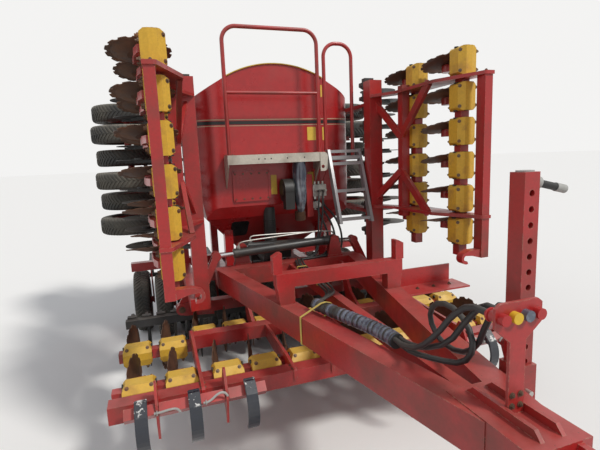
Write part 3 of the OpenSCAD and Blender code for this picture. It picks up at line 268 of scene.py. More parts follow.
# Looks of the record's material slots
SLOT_LOOKS = {
    "red_paint": dict(
        colour=(0.41, 0.020, 0.019), dust_and_sheen=(0.15, 0.038, 0.027), rough=(0.28, 0.55), coat=0.25,
        dirt_and_sheen_cut=(0.45, 0.74), chips=(0.11, 0.04, 0.028), chip_cut=(0.665, 0.69), chip_scale=62,
        top=(0.52, 0.12, 0.105), top_share=0.45, rim=(0.46, 0.24, 0.17), rim_width=0.006),
    "tank_red": dict(
        colour=(0.42, 0.016, 0.017), dust_and_sheen=(0.36, 0.04, 0.035), rough=(0.24, 0.42), coat=0.3,
        bump=0.03, dirt_and_sheen_cut=(0.5, 0.85), grain=25, top=(0.46, 0.08, 0.07), top_share=0.4),
    "yellow_paint": dict(
        colour=(0.68, 0.40, 0.035), dust_and_sheen=(0.42, 0.22, 0.05), rough=(0.4, 0.7), dirt_and_sheen_cut=(0.52, 0.74),
        dirt_and_sheen_scale=7, chips=(0.16, 0.08, 0.035), top=(0.76, 0.52, 0.12), top_share=0.6,
        rim=(0.34, 0.19, 0.06)),
    "worn_steel": dict(
        colour=(0.085, 0.048, 0.032), dust_and_sheen=(0.20, 0.095, 0.05), rough=(0.55, 0.85), metal=0.3,
        dirt_and_sheen_cut=(0.4, 0.7), dirt_and_sheen_scale=7, bump=0.5),
    "dark_steel": dict(
        colour=(0.028, 0.027, 0.027), dust_and_sheen=(0.11, 0.09, 0.07), rough=(0.45, 0.7), bump=0.25,
        top=(0.13, 0.11, 0.09)),
    "worn_blade": dict(
        colour=(0.016, 0.020, 0.030), dust_and_sheen=(0.04, 0.04, 0.045), rough=(0.2, 0.45), coat=0.3,
        dirt_and_sheen_cut=(0.5, 0.8), chips=(0.62, 0.62, 0.60), chip_cut=(0.575, 0.60), chip_scale=26,
        chip_above=(0.735, 0.745)),
    "galvanised": dict(
        colour=(0.60, 0.57, 0.49), dust_and_sheen=(0.36, 0.33, 0.28), rough=(0.4, 0.65), metal=0.35,
        dirt_and_sheen_cut=(0.45, 0.75), dirt_and_sheen_scale=6, top=(0.62, 0.57, 0.46)),
    "zinc_steel": dict(
        colour=(0.56, 0.55, 0.52), dust_and_sheen=(0.30, 0.27, 0.22), rough=(0.3, 0.55), metal=0.8),
    "ladder_aluminium": dict(
        colour=(0.36, 0.36, 0.37), dust_and_sheen=(0.26, 0.24, 0.21), rough=(0.38, 0.6), metal=0.6,
        grain=120, stretch=(1, 1, 0.2)),
    "tarpaulin": dict(
        colour=(0.70, 0.47, 0.07), dust_and_sheen=(0.52, 0.35, 0.09), rough=(0.45, 0.65), bump=0.3, grain=260,
        top=(0.80, 0.62, 0.22)),
    # Black film: its light blue-grey clouds are partly dust and partly painted sheen of its highlights
    "black_film": dict(
        colour=(0.055, 0.068, 0.095), dust_and_sheen=(0.20, 0.22, 0.25), rough=(0.10, 0.28), coat=0.8,
        bump=0.05, dirt_and_sheen_cut=(0.50, 0.66), dirt_and_sheen_scale=5),
    "black_plastic": dict(
        colour=(0.014, 0.014, 0.014), dust_and_sheen=(0.04, 0.036, 0.03), rough=(0.4, 0.65),
        top=(0.075, 0.068, 0.058)),
    "hose_rubber": dict(
        colour=(0.018, 0.018, 0.019), dust_and_sheen=(0.07, 0.062, 0.052), rough=(0.38, 0.65), bump=0.1,
        top=(0.075, 0.07, 0.06)),
    "tyre_rubber": dict(
        colour=(0.030, 0.030, 0.028), dust_and_sheen=(0.13, 0.118, 0.095), rough=(0.6, 0.85), dirt_and_sheen_cut=(0.42, 0.7),
        bump=0.35, top=(0.34, 0.31, 0.26), top_share=0.75),
    "ram_black": dict(
        colour=(0.030, 0.030, 0.030), dust_and_sheen=(0.10, 0.08, 0.06), rough=(0.3, 0.5), coat=0.3),
    "ram_chrome": dict(
        colour=(0.62, 0.62, 0.63), dust_and_sheen=(0.45, 0.42, 0.38), rough=(0.08, 0.2), metal=1.0, bump=0.02,
        dirt_and_sheen_cut=(0.6, 0.85)),
}

# Looks of small trim, each with the slot that it stands nearest to
TRIM_LOOKS = {
    "bolt": ("worn_steel", dict(
        colour=(0.15, 0.10, 0.07), dust_and_sheen=(0.26, 0.12, 0.06), rough=(0.45, 0.75), metal=0.6, dirt_and_sheen_scale=20)),
    "stripe": ("tank_red", dict(
        colour=(0.012, 0.012, 0.012), dust_and_sheen=(0.03, 0.025, 0.02), rough=(0.3, 0.5), bump=0.02)),
    "line": ("tank_red", dict(
        colour=(0.52, 0.40, 0.26), dust_and_sheen=(0.42, 0.30, 0.20), rough=(0.35, 0.5), bump=0.02)),
    "plate": ("yellow_paint", dict(
        colour=(0.80, 0.56, 0.08), dust_and_sheen=(0.60, 0.40, 0.08), rough=(0.35, 0.55), bump=0.03)),
    # Near-black gloss: painted shade inside the hopper's window and the platform's holes
    "painted_shade_black": ("black_plastic", dict(
        colour=(0.006, 0.006, 0.006), dust_and_sheen=(0.02, 0.02, 0.02), rough=(0.12, 0.3), coat=0.5)),
    "rubber": ("hose_rubber", dict(
        colour=(0.02, 0.02, 0.02), dust_and_sheen=(0.06, 0.05, 0.04), rough=(0.5, 0.7))),
    "tape": ("black_film", dict(
        colour=(0.085, 0.10, 0.14), dust_and_sheen=(0.24, 0.26, 0.31), rough=(0.25, 0.45), coat=0.4, dirt_and_sheen_scale=30)),
    "cap_red": ("red_paint", dict(
        colour=(0.42, 0.02, 0.02), dust_and_sheen=(0.25, 0.04, 0.03), rough=(0.3, 0.5))),
    "cap_yellow": ("yellow_paint", dict(
        colour=(0.75, 0.48, 0.03), dust_and_sheen=(0.5, 0.3, 0.05), rough=(0.3, 0.5))),
    "strap": ("tarpaulin", dict(
        colour=(0.66, 0.50, 0.12), dust_and_sheen=(0.45, 0.34, 0.10), rough=(0.6, 0.8), bump=0.4, grain=400)),
    "wire": ("galvanised", dict(
        colour=(0.40, 0.40, 0.38), dust_and_sheen=(0.22, 0.21, 0.19), rough=(0.4, 0.6))),
}

# Finishes as (material, slot)
FINISHES = {name: (worn(name, **look), name) for name, look in SLOT_LOOKS.items()}
FINISHES |= {name: (worn(name, **look), slot) for name, (slot, look) in TRIM_LOOKS.items()}


def post_and_blocks():
    """Zinc on the valve blocks, red paint on the post that carries them."""
    post_red = (0.40, 0.026, 0.024)
    post_side = 0.292
    step = 0.0001
    mat = worn("valve_post", (0.50, 0.49, 0.46), (0.26, 0.24, 0.20), (0.35, 0.6), metal=0.2, grain=90)
    nt = mat.node_tree
    base = nt.nodes["Principled BSDF"].inputs["Base Color"]
    zinc = base.links[0].from_socket
    beyond = place_share(nt, 0, post_side - step, post_side + step)
    nt.links.new(mix_rgb(nt, beyond, post_red, zinc), base)
    return mat


def dress_nodes():
    slots = {s["node"]: s["material_slot"] for s in frame["record"]["subparts"]}
    for name, obj in frame["nodes"].items():
        obj.data.materials.clear()
        obj.data.materials.append(FINISHES[slots[name]][0])
    frame["nodes"]["valve_block"].data.materials[0] = post_and_blocks()


# Mesh helpers

def rod(bm, a, b, r, n=12, r2=None):
    """A cylinder of radius r from a to b, or a cone that ends in radius r2."""
    a, b = Vector(a), Vector(b)
    turn = (b - a).to_track_quat("Z", "Y").to_matrix().to_4x4()
    bmesh.ops.create_cone(bm, cap_ends=True, segments=n, radius1=r, radius2=r if r2 is None else r2,
                          depth=(b - a).length, matrix=Matrix.Translation((a + b) / 2) @ turn)


def block(bm, lo, hi):
    lo, hi = Vector(lo), Vector(hi)
    size = Matrix.Diagonal((*(hi - lo), 1))
    bmesh.ops.create_cube(bm, size=1, matrix=Matrix.Translation((lo + hi) / 2) @ size)


def bolt(bm, p, axis, r):
    """A hexagon head of radius r on its round washer, standing on point p."""
    p, axis = Vector(p), Vector(axis).normalized()
    seat = 0.0025
    head = seat + r * 0.75
    rod(bm, p - axis * 0.002, p + axis * seat, r * 1.65, 14)
    rod(bm, p + axis * seat, p + axis * head, r, 6)
    rod(bm, p + axis * head, p + axis * (seat + r * 1.2), r * 0.55, 8)


def bridge(bm, a, b):
    """Faces between two closed loops of as many vertices."""
    n = len(a)
    for k in range(n):
        after = (k + 1) % n
        bm.faces.new((a[k], a[after], b[after], b[k]))


def smooth_route(points, times_over=2):
    """Corners cut on each leg, times_over times, so the route bends evenly."""
    pts = [Vector(p) for p in points]
    for _ in range(times_over):
        legs = [pts[0]]
        for a, b in zip(pts, pts[1:]):
            legs += [a.lerp(b, 0.25), a.lerp(b, 0.75)]
        pts = legs + [pts[-1]]
    return pts


def sweep(bm, pts, radius, n=8):
    """A round tube along points; radius is a number or a function of the ring's index."""
    up = Vector((0, 0, 1))
    loops = []
    for i, p in enumerate(pts):
        along = (pts[min(i + 1, len(pts) - 1)] - pts[max(i - 1, 0)]).normalized()
        if abs(along.dot(up)) > 0.95:
            up = Vector((1, 0, 0))
        side = along.cross(up).normalized()
        up = side.cross(along).normalized()
        r = radius(i) if callable(radius) else radius
        loop = []
        for k in range(n):
            turn = 2 * math.pi * k / n
            loop.append(bm.verts.new(p + r * (side * math.cos(turn) + up * math.sin(turn))))
        loops.append(loop)
    for a, b in zip(loops, loops[1:]):
        bridge(bm, a, b)
    bm.faces.new(list(reversed(loops[0])))
    bm.faces.new(loops[-1])


def thin_tube(bm, route, radius):
    sweep(bm, smooth_route([at(*p) for p in route]), radius, 10)


def ring(bm, p, axis, radius, wire, n=24, m=6):
    """A torus round point p, of n steps round and m steps round its wire."""
    p, axis = Vector(p), Vector(axis).normalized()
    u = axis.orthogonal().normalized()
    v = axis.cross(u)
    loops = []
    for i in range(n):
        turn = 2 * math.pi * i / n
        out = u * math.cos(turn) + v * math.sin(turn)
        loop = []
        for k in range(m):
            roll = 2 * math.pi * k / m
            lift = axis * wire * math.sin(roll)
            loop.append(bm.verts.new(p + out * (radius + wire * math.cos(roll)) + lift))
        loops.append(loop)
    for i in range(n):
        bridge(bm, loops[(i + 1) % n], loops[i])


def finish(bm, name, finish_name, body="root", angle=35):
    """The mesh becomes a piece with its finish, riding on a body; edges over angle stay sharp."""
    bmesh.ops.recalc_face_normals(bm, faces=bm.faces)
    mesh = bpy.data.meshes.new(name)
    bm.to_mesh(mesh)
    bm.free()
    mesh.shade_smooth()
    mesh.set_sharp_from_angle(angle=math.radians(angle))
    obj = bpy.data.objects.new(name, mesh)
    bpy.context.scene.collection.objects.link(obj)
    mat, slot = FINISHES[finish_name]
    mesh.materials.append(mat)
    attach(obj, body)
    return obj


# Hoses that hang from the bundle's front end to the rack

HOSE_R = 0.0125
HOSE_ROUTES = {
    "hose_1": [(-0.114, -0.9803, 1.194), (-0.114, -1.06, 1.194), (-0.11, -1.17, 1.23),
               (-0.096, -1.27, 1.33), (-0.084, -1.35, 1.44), (-0.075, -1.43, 1.5), (-0.075, -1.5197, 1.5)],
    "hose_2": [(-0.086, -0.9803, 1.194), (-0.086, -1.04, 1.194), (-0.08, -1.15, 1.215),
               (-0.056, -1.29, 1.29), (-0.034, -1.37, 1.42), (-0.025, -1.44, 1.5), (-0.025, -1.5197, 1.5)],
    "hose_3": [(-0.086, -0.9803, 1.166), (-0.086, -1.08, 1.166), (-0.03, -1.19, 1.17), (0.01, -1.3, 1.195),
               (0.02, -1.35, 1.28), (0.025, -1.3, 1.37), (0.03, -1.18, 1.41), (0.04, -1.06, 1.37),
               (0.055, -1.01, 1.28), (0.06, -1.08, 1.195), (0.06, -1.22, 1.195), (0.05, -1.33, 1.27),
               (0.04, -1.39, 1.4), (0.03, -1.45, 1.49), (0.025, -1.49, 1.5), (0.025, -1.5197, 1.5)],
}


def free_hoses():
    for name, route in HOSE_ROUTES.items():
        pts = smooth_route([at(*p) for p in route], 1)
        bm = bmesh.new()
        sweep(bm, pts, HOSE_R, 12)
        obj = finish(bm, f"{name}_look", "hose_rubber", "root", 60)
        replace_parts(obj, name)


# Press wheels

LUG_H = 0.008
LUG_W = 0.052
LUG_SLANT = 0.17
LUGS = 52
# A lug's way from the middle out over the shoulder: (sideways, radius, share of the slant)
LUG_PATH = ((0.003, 0.3698, 0.0), (0.03, 0.3696, 0.34), (0.056, 0.3690, 0.66), (0.078, 0.3605, 0.88),
            (0.090, 0.344, 1.0))
TYRE_STEPS = 64
WHEEL_NUTS = 6
NUT_CIRCLE = 0.082


def tyre_profile():
    """The tyre's section from bead to bead: (radius, sideways)."""
    half = TYRE_W / 2
    wall_r = 0.034
    shoulder_r = 0.046
    points = [(RIM_R, -half + 0.026)]
    for a in (200, 225, 250, 270):
        turn = math.radians(a)
        points.append((RIM_R + 0.0437 + wall_r * math.cos(turn), -half + wall_r + wall_r * math.sin(turn)))
    for a in (270, 290, 310, 330, 348):
        turn = math.radians(a)
        points.append((TYRE_R - shoulder_r + (shoulder_r - LUG_H) * math.cos(turn),
                       -half + shoulder_r + (shoulder_r - 0.002) * math.sin(turn)))
    return points + [(TYRE_R - LUG_H, 0)] + [(r, -a) for r, a in reversed(points)]


def add_lug(bm, spot, side, turn):
    rows = []
    for a, r, share in LUG_PATH:
        mid = turn + LUG_SLANT * share
        foot_r, foot_a = r - LUG_H - 0.002, a * 0.97
        section = ((foot_r, foot_a, -1.1), (r, a, -0.8), (r, a, 0.8), (foot_r, foot_a, 1.1))
        rows.append([bm.verts.new(spot(rr, side * aa, mid + w * LUG_W / 2)) for rr, aa, w in section])
    for p, q in zip(rows, rows[1:]):
        for k in range(3):
            bm.faces.new((p[k], p[k + 1], q[k + 1], q[k]))
    bm.faces.new(rows[0])
    bm.faces.new(list(reversed(rows[-1])))


def tyre(bm, place, x, station):
    """One tyre with a chevron tread; place turns a working place into one in the frame."""
    def spot(r, a, turn):
        return place(x + a, station + r * math.cos(turn), TYRE_R + r * math.sin(turn))
    profile = tyre_profile()
    turns = [2 * math.pi * i / TYRE_STEPS for i in range(TYRE_STEPS)]
    rings = [[bm.verts.new(spot(r, a, turn)) for r, a in profile] for turn in turns]
    for here, there in zip(rings, rings[1:] + rings[:1]):
        for k in range(len(profile) - 1):
            bm.faces.new((here[k], here[k + 1], there[k + 1], there[k]))
    for side, shift in ((1, 0), (-1, 0.5)):
        for i in range(LUGS):
            add_lug(bm, spot, side, 2 * math.pi * (i + shift) / LUGS)


def wheel_row(group, place, xs, station):
    """Treads of a row of wheels, then the nuts on each hub's face and the bolts' ends behind it."""
    body = f"wheels_{group}"
    bm = bmesh.new()
    for x in xs:
        tyre(bm, place, x, station)
    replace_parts(finish(bm, f"tread_{group}", "tyre_rubber", body, 40), f"tyres_{group}")
    bm = bmesh.new()
    for x in xs:
        out = 1 if x > 0 else -1
        for k in range(WHEEL_NUTS):
            turn = 2 * math.pi * k / WHEEL_NUTS
            y, z = station + NUT_CIRCLE * math.cos(turn), TYRE_R + NUT_CIRCLE * math.sin(turn)
            for near, far, r in ((-0.006, 0.008, 0.012), (-0.014, -0.022, 0.009)):
                rod(bm, place(x + out * near, y, z), place(x + out * far, y, z), r, 6)
    finish(bm, f"wheel_nuts_{group}", "bolt", body)


def press_wheels():
    for row, station in AXLES.items():
        for section, (_, place) in SECTIONS.items():
            wheels = MID_WHEELS if section == "mid" else WING_WHEELS
            wheel_row(f"{row}_{section}", place, wheels[row], station)


# Clamp covers and discs

# A cover's bolt from the bar's middle: (x, y, z) of its seat, and (y, z) of the way out of the slope there
COVER_BOLT = (0.070, 0.0545, 0.0654)
COVER_OUT = (0.0777, 0.0629)
# The bolt down beside the bar: (x, y) from the bar's middle, and the height of its top
LOWER_BOLT = (0.062, 0.054)
LOWER_BOLT_Z = ROW_Z - 0.064
# Ends of the rubber cords: (y, z) from the bar's middle
CORD_ENDS = ((-0.057, 0.008), (0.057, 0.008), (0.0, 0.055))
DISC_BACK = 0.262
DISC_DROP = 0.072
DISC_LEAN = math.radians(12)
DISC_FACE = 0.033
DISC_BOLTS = 5
DISC_BOLT_CIRCLE = 0.052


def clamp_trim(group, body, place, tools):
    """Bolts on the covers' slopes, ends of the rubber cords inside, and bolts down beside the bar."""
    bolts = bmesh.new()
    cords = bmesh.new()
    for x, y in tools:
        for sx in (-1, 1):
            for sy in (-1, 1):
                bx, by, bz = x + sx * COVER_BOLT[0], y + sy * COVER_BOLT[1], ROW_Z + COVER_BOLT[2]
                p = place(bx, by, bz)
                bolt(bolts, p, place(bx, by + sy * COVER_OUT[0], bz + COVER_OUT[1]) - p, 0.0075)
            end = x + sx * CLAMP_W / 2
            for dy, dz in CORD_ENDS:
                inner = place(end - sx * 0.004, y + dy, ROW_Z + dz)
                rod(cords, inner, place(end + sx * 0.003, y + dy, ROW_Z + dz), 0.016, 14)
            for sy in (-1, 1):
                bx, by = x + sx * LOWER_BOLT[0], y + sy * LOWER_BOLT[1]
                top = place(bx, by, LOWER_BOLT_Z)
                rod(bolts, top, place(bx, by, LOWER_BOLT_Z - 0.022), 0.008, 8)
                rod(bolts, top, place(bx, by, LOWER_BOLT_Z - 0.010), 0.014, 6)
    finish(bolts, f"clamp_bolts_{group}", "bolt", body)
    finish(cords, f"clamp_rubber_{group}", "rubber", body)


def disc_trim(group, body, place, tools):
    """Hub caps and bolts on the discs' open faces."""
    bm = bmesh.new()
    for x, y in tools:
        out = -1 if x < 0 else 1
        hub_y, hub_z = y + DISC_BACK, ROW_Z - DISC_DROP
        ax, ay = out * math.cos(DISC_LEAN), math.sin(DISC_LEAN)

        def spot(along, across, up):
            sideways = ax * along - ay * out * across
            return place(x + sideways, hub_y + ay * along + abs(ax) * across, hub_z + up)
        rod(bm, spot(DISC_FACE, 0, 0), spot(0.050, 0, 0), 0.034, 20, 0.024)
        for k in range(DISC_BOLTS):
            turn = 2 * math.pi * k / DISC_BOLTS
            across, up = DISC_BOLT_CIRCLE * math.cos(turn), DISC_BOLT_CIRCLE * math.sin(turn)
            rod(bm, spot(DISC_FACE, across, up), spot(0.044, across, up), 0.009, 6)
    finish(bm, f"disc_bolts_{group}", "bolt", body)


def tool_trim():
    for section, (body, place) in SECTIONS.items():
        tools = MID_TOOLS if section == "mid" else WING_TOOLS
        clamp_trim(section, body, place, tools)
        disc_trim(section, body, place, tools)


# Hopper: stripe, blank plates, window, hatch

# Stripe and lines round the front wall: (name, lower edge, upper edge, finish)
STRIPES = (
    ("hopper_stripe", 2.372, 2.402, "stripe"),
    ("hopper_line_top", 2.410, 2.418, "line"),
    ("hopper_line_low", 2.358, 2.364, "line"),
)
# Blank plates on the front wall: (left, right, low, high)
BLANK_PLATES = (
    (0.288, 0.374, 2.217, 2.340),
    (0.440, 0.476, 2.215, 2.337),
    (0.434, 0.450, 2.613, 2.722),
    (-0.090, -0.035, 1.73, 1.91),
    (0.275, 0.355, 1.76, 1.92),
)
HATCH_X = (-0.44, -0.11)
HATCH_Z = (1.69, 1.95)
HATCH_Y = HOPPER_FRONT - 0.01
HATCH_INSET = 0.015
HATCH_BOLTS = 5


def hopper_skin(gap):
    """Outline of the front wall seen from above, from its left corner to its right one, gap outside it."""
    flat = HOPPER_HALF - HOPPER_CORNER
    r = HOPPER_CORNER + gap
    turns = [(-1, math.radians(50 * (8 - k) / 8)) for k in range(9)]
    turns += [(1, math.radians(6.2 * k)) for k in range(11)]
    return [(s * (flat + r * math.sin(turn)), HOPPER_FRONT + HOPPER_CORNER - r * math.cos(turn))
            for s, turn in turns]


def band(name, z0, z1, finish_name):
    """A thin strip round the front wall between two heights."""
    bm = bmesh.new()
    rows = []
    for gap in (0.0002, 0.0012):
        skin = hopper_skin(gap)
        rows.append([[bm.verts.new(at(x, y, z)) for z in (z0, z1)] for x, y in skin])
    back, face = rows
    for i in range(len(face) - 1):
        (low, high), (low_after, high_after) = face[i], face[i + 1]
        bm.faces.new((low, low_after, high_after, high))
        bm.faces.new((back[i][0], back[i + 1][0], low_after, low))
        bm.faces.new((back[i][1], back[i + 1][1], high_after, high))
    finish(bm, name, finish_name)


def rounded_plate(bm, centre, u, v, half_u, half_v, corner, thick):
    """A flat plate with round corners, spanned by u and v, thick along their cross product."""
    steps = 24
    centre, u, v = Vector(centre), Vector(u), Vector(v)
    out = u.cross(v).normalized()
    loops = []
    for lift in (0, thick):
        loop = []
        for k in range(steps):
            turn = 2 * math.pi * (k + 0.5) / steps
            along = math.copysign(half_u - corner, math.cos(turn)) + corner * math.cos(turn)
            across = math.copysign(half_v - corner, math.sin(turn)) + corner * math.sin(turn)
            loop.append(bm.verts.new(centre + u * along + v * across + out * lift))
        loops.append(loop)
    bridge(bm, *loops)
    bm.faces.new(loops[1])
    bm.faces.new(list(reversed(loops[0])))


def blank_plates():
    bm = bmesh.new()
    for x0, x1, z0, z1 in BLANK_PLATES:
        centre = at((x0 + x1) / 2, HOPPER_FRONT - 0.0003, (z0 + z1) / 2)
        rounded_plate(bm, centre, (1, 0, 0), (0, 0, 1), (x1 - x0) / 2, (z1 - z0) / 2, 0.004, 0.0015)
    finish(bm, "blank_plates", "plate")


def hopper_window():
    """The window in the sloping underside, at a share of the slope's way down from its knee; its
    near-black plate is painted shade of the hopper's inside.
    """
    knee_y, knee_z = 1.26, 1.53
    back, drop = 0.42, 0.35
    share = 0.36
    slope = Vector((0, back, -drop)).normalized()
    bm = bmesh.new()
    centre = at(-0.375, knee_y + back * share, knee_z - drop * share)
    rounded_plate(bm, centre, (1, 0, 0), -slope, 0.085, 0.13, 0.035, 0.004)
    finish(bm, "hopper_window", "painted_shade_black")


def hatch_trim():
    bm = bmesh.new()
    for x in HATCH_X:
        block(bm, at(x - 0.008, HATCH_Y - 0.006, HATCH_Z[0] - 0.005),
              at(x + 0.008, HATCH_Y + 0.001, HATCH_Z[1] + 0.005))
    for z in HATCH_Z:
        block(bm, at(HATCH_X[0], HATCH_Y - 0.006, z - 0.008), at(HATCH_X[1], HATCH_Y + 0.001, z + 0.008))
    finish(bm, "hatch_rim", "tank_red")
    bm = bmesh.new()
    left, right = HATCH_X[0] + HATCH_INSET, HATCH_X[1] - HATCH_INSET
    for k in range(HATCH_BOLTS):
        x = left + (right - left) * k / (HATCH_BOLTS - 1)
        for z in (HATCH_Z[0] + HATCH_INSET, HATCH_Z[1] - HATCH_INSET):
            bolt(bm, at(x, HATCH_Y, z), (0, -1, 0), 0.006)
    finish(bm, "hatch_bolts", "bolt")


def hopper_trim():
    for name, z0, z1, finish_name in STRIPES:
        band(name, z0, z1, finish_name)
    blank_plates()
    hopper_window()
    hatch_trim()


# Tarpaulin: sags between its hoops, hangs a little over both ends

def tarpaulin():
    lo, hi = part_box("hopper_cover")
    y0, y1, top = lo[1], hi[1], hi[2]
    half_span = 0.45
    crown = 0.115
    skin = 0.0045
    end = 0.002
    hoops = 5
    arch_r = (half_span ** 2 + crown ** 2) / (2 * crown)
    arch_a = math.asin(half_span / arch_r)
    arch_z = top - 0.0053 - arch_r

    def over(u, y):
        """A point on the hopper's arch, u from -1 to 1 across it, and the way out from there."""
        out = Vector((math.sin(arch_a * u), 0, math.cos(arch_a * u)))
        return Vector((0, y, arch_z)) + out * arch_r, out
    columns, rows = 40, 90
    bm = bmesh.new()
    grid = []
    for j in range(rows + 1):
        v = j / rows
        line = []
        for i in range(columns + 1):
            u = i / columns * 2 - 1
            p, out = over(u, y0 + end + (y1 - y0 - 2 * end) * v)
            inward = 0.0
            if 0.01 < v < 0.99:
                wrinkle = 1 + noise.noise(Vector((u * 5, v * 22, 3.1)))
                inward = 0.0018 * wrinkle + 0.001 * math.sin(math.pi * v * hoops) ** 2
            line.append(bm.verts.new(p + out * (skin - inward)))
        grid.append(line)
    for here, there in zip(grid, grid[1:]):
        for i in range(columns):
            bm.faces.new((here[i], here[i + 1], there[i + 1], there[i]))
    obj = finish(bm, "tarpaulin_cloth", "tarpaulin", "root", 60)
    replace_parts(obj, "hopper_cover")
    # Hem rope over both ends
    bm = bmesh.new()
    for y in (y0 + 0.006, y1 - 0.006):
        sweep(bm, [over(k / 20 - 1, y)[0] for k in range(41)], 0.005)
    finish(bm, "tarpaulin_hem", "tarpaulin", "root", 60)


# Fan in its sheet, with its casing and motor, and the ribbed duct beside it

# The sheet's waist from top to bottom: (share of the height, half width, half depth)
FAN_FORM = ((0.0, 0.018, 0.030), (0.05, 0.040, 0.060), (0.14, 0.060, 0.085), (0.35, 0.070, 0.092),
            (0.6, 0.068, 0.088), (0.8, 0.055, 0.074), (0.93, 0.040, 0.052), (1.0, 0.028, 0.034))
FAN_Y = HOPPER_FRONT - 0.12
CASING_Y = HOPPER_FRONT - 0.105
CASING_Z = 1.77
MOTOR_Y = HOPPER_FRONT - 0.10
DUCT = (-0.11, 1.25)
DUCT_LOW, DUCT_HIGH = 1.185, 1.50
DUCT_PITCH = 0.016
DUCT_R = 0.056
BEND_R = 0.09
BEND_Z = 1.17
TOWER_PIPE = (0, 3.17)
PIPE_CLIPS_Z = (1.25, 1.95, 2.25)


def fan_waist(v):
    """Half width and half depth of the sheet at share v of its height, eased between its rows."""
    k = max(i for i, row in enumerate(FAN_FORM) if row[0] <= v + 1e-9)
    above, below = FAN_FORM[min(k, len(FAN_FORM) - 2):][:2]
    t = (v - above[0]) / (below[0] - above[0])
    t = t * t * (3 - 2 * t)
    return [p + (q - p) * t for p, q in zip(above[1:], below[1:])]


def fan_bag(x, low, top):
    rows, columns = 70, 72
    bm = bmesh.new()
    loops = []
    for j in range(rows + 1):
        v = j / rows
        w, d = fan_waist(v)
        slack = min(1, 3 * v) * (0.5 + 0.5 * v)
        loop = []
        for i in range(columns):
            a = 2 * math.pi * i / columns
            cx, cy = math.cos(a), math.sin(a)
            long_fold = noise.noise(Vector((cx * 1.5, cy * 1.5, v * 1.3)))
            crease = abs(noise.noise(Vector((cx * 1.5 + v * 0.9, cy * 1.5, v * 1.7 + 7))))
            pinch = 0.16 * (1 - 3.0 * crease) * (crease < 0.33)
            pull = 1 - 0.04 + slack * (0.07 * long_fold - pinch)
            loop.append(bm.verts.new(at(x + w * pull * cx, FAN_Y + d * pull * cy, top + (low - top) * v)))
        loops.append(loop)
    for a, b in zip(loops, loops[1:]):
        bridge(bm, a, b)
    bm.faces.new(loops[0])
    bm.faces.new(list(reversed(loops[-1])))
    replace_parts(finish(bm, "fan_bag", "black_film", "root", 60), "fan_cover")


def fan_casing(x):
    """The drum that shows beside the sheet, with its outlet and the foot to the hopper."""
    y, z = CASING_Y, CASING_Z
    left, right = x - 0.165, x - 0.080
    bm = bmesh.new()
    drum = (left, right, 0.102, 48)
    flange = (right + 0.002, right + 0.006, 0.107, 48)
    inlet = (left - 0.007, left, 0.060, 32)
    for x0, x1, r, n in (drum, flange, inlet):
        rod(bm, at(x0, y, z), at(x1, y, z), r, n)
    block(bm, at(left, y - 0.100, z - 0.17), at(right, y - 0.012, z))
    block(bm, at(left + 0.015, y + 0.02, z - 0.04), at(right - 0.015, HOPPER_FRONT - 0.001, z + 0.04))
    finish(bm, "fan_housing", "black_plastic")


def fan_motor(x, low):
    """The ribbed motor under the sheet, on its own bracket."""
    bm = bmesh.new()
    for k in range(9):
        z = low - 0.075 + 0.009 * k
        rod(bm, at(x, MOTOR_Y, z), at(x, MOTOR_Y, z + 0.004), 0.050, 28)
    rod(bm, at(x, MOTOR_Y, low - 0.085), at(x, MOTOR_Y, low + 0.004), 0.042, 28)
    block(bm, at(x - 0.02, MOTOR_Y + 0.03, low - 0.05), at(x + 0.02, HOPPER_FRONT - 0.0005, low - 0.03))
    finish(bm, "fan_motor", "worn_steel")


def fan():
    lo, hi = (Vector(v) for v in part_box("fan_cover"))
    x, low = (lo.x + hi.x) / 2, lo.z + 0.002
    fan_bag(x, low, hi.z - 0.005)
    fan_casing(x)
    fan_motor(x, low)


def duct_ribs():
    """Ribs up the straight duct and round its bend."""
    bm = bmesh.new()
    x, y = DUCT
    for k in range(round((DUCT_HIGH - DUCT_LOW) / DUCT_PITCH)):
        ring(bm, at(x, y, DUCT_LOW + DUCT_PITCH * k), (0, 0, 1), DUCT_R, 0.0045, 28, 6)
    for k in range(6):
        turn = math.radians(90 * (k + 0.5) / 6)
        p = at(x, y + BEND_R - BEND_R * math.cos(turn), BEND_Z - BEND_R * math.sin(turn))
        ring(bm, p, (0, math.sin(turn), -math.cos(turn)), DUCT_R, 0.0045, 28, 6)
    finish(bm, "duct_ribs", "black_plastic")


def pipe_clips():
    """Clips round the tower's pipe."""
    bm = bmesh.new()
    for z in PIPE_CLIPS_Z:
        ring(bm, at(*TOWER_PIPE, z), (0, 0, 1), 0.061, 0.004, 28, 6)
    finish(bm, "pipe_clips", "zinc_steel")


# Hose bundle on the drawbar, wrapped in tape

BUNDLE_ROUTE = [(-0.262, -0.33, 1.18), (-0.2, -0.54, 1.18), (-0.133, -0.74, 1.18), (-0.1, -0.9, 1.18),
                (-0.1, -0.98, 1.18)]
BUNDLE_STEP = 0.006
# Bands of tape, as shares of the bundle's length
TAPE_BANDS = ((0.03, 0.07), (0.22, 0.27), (0.36, 0.985))


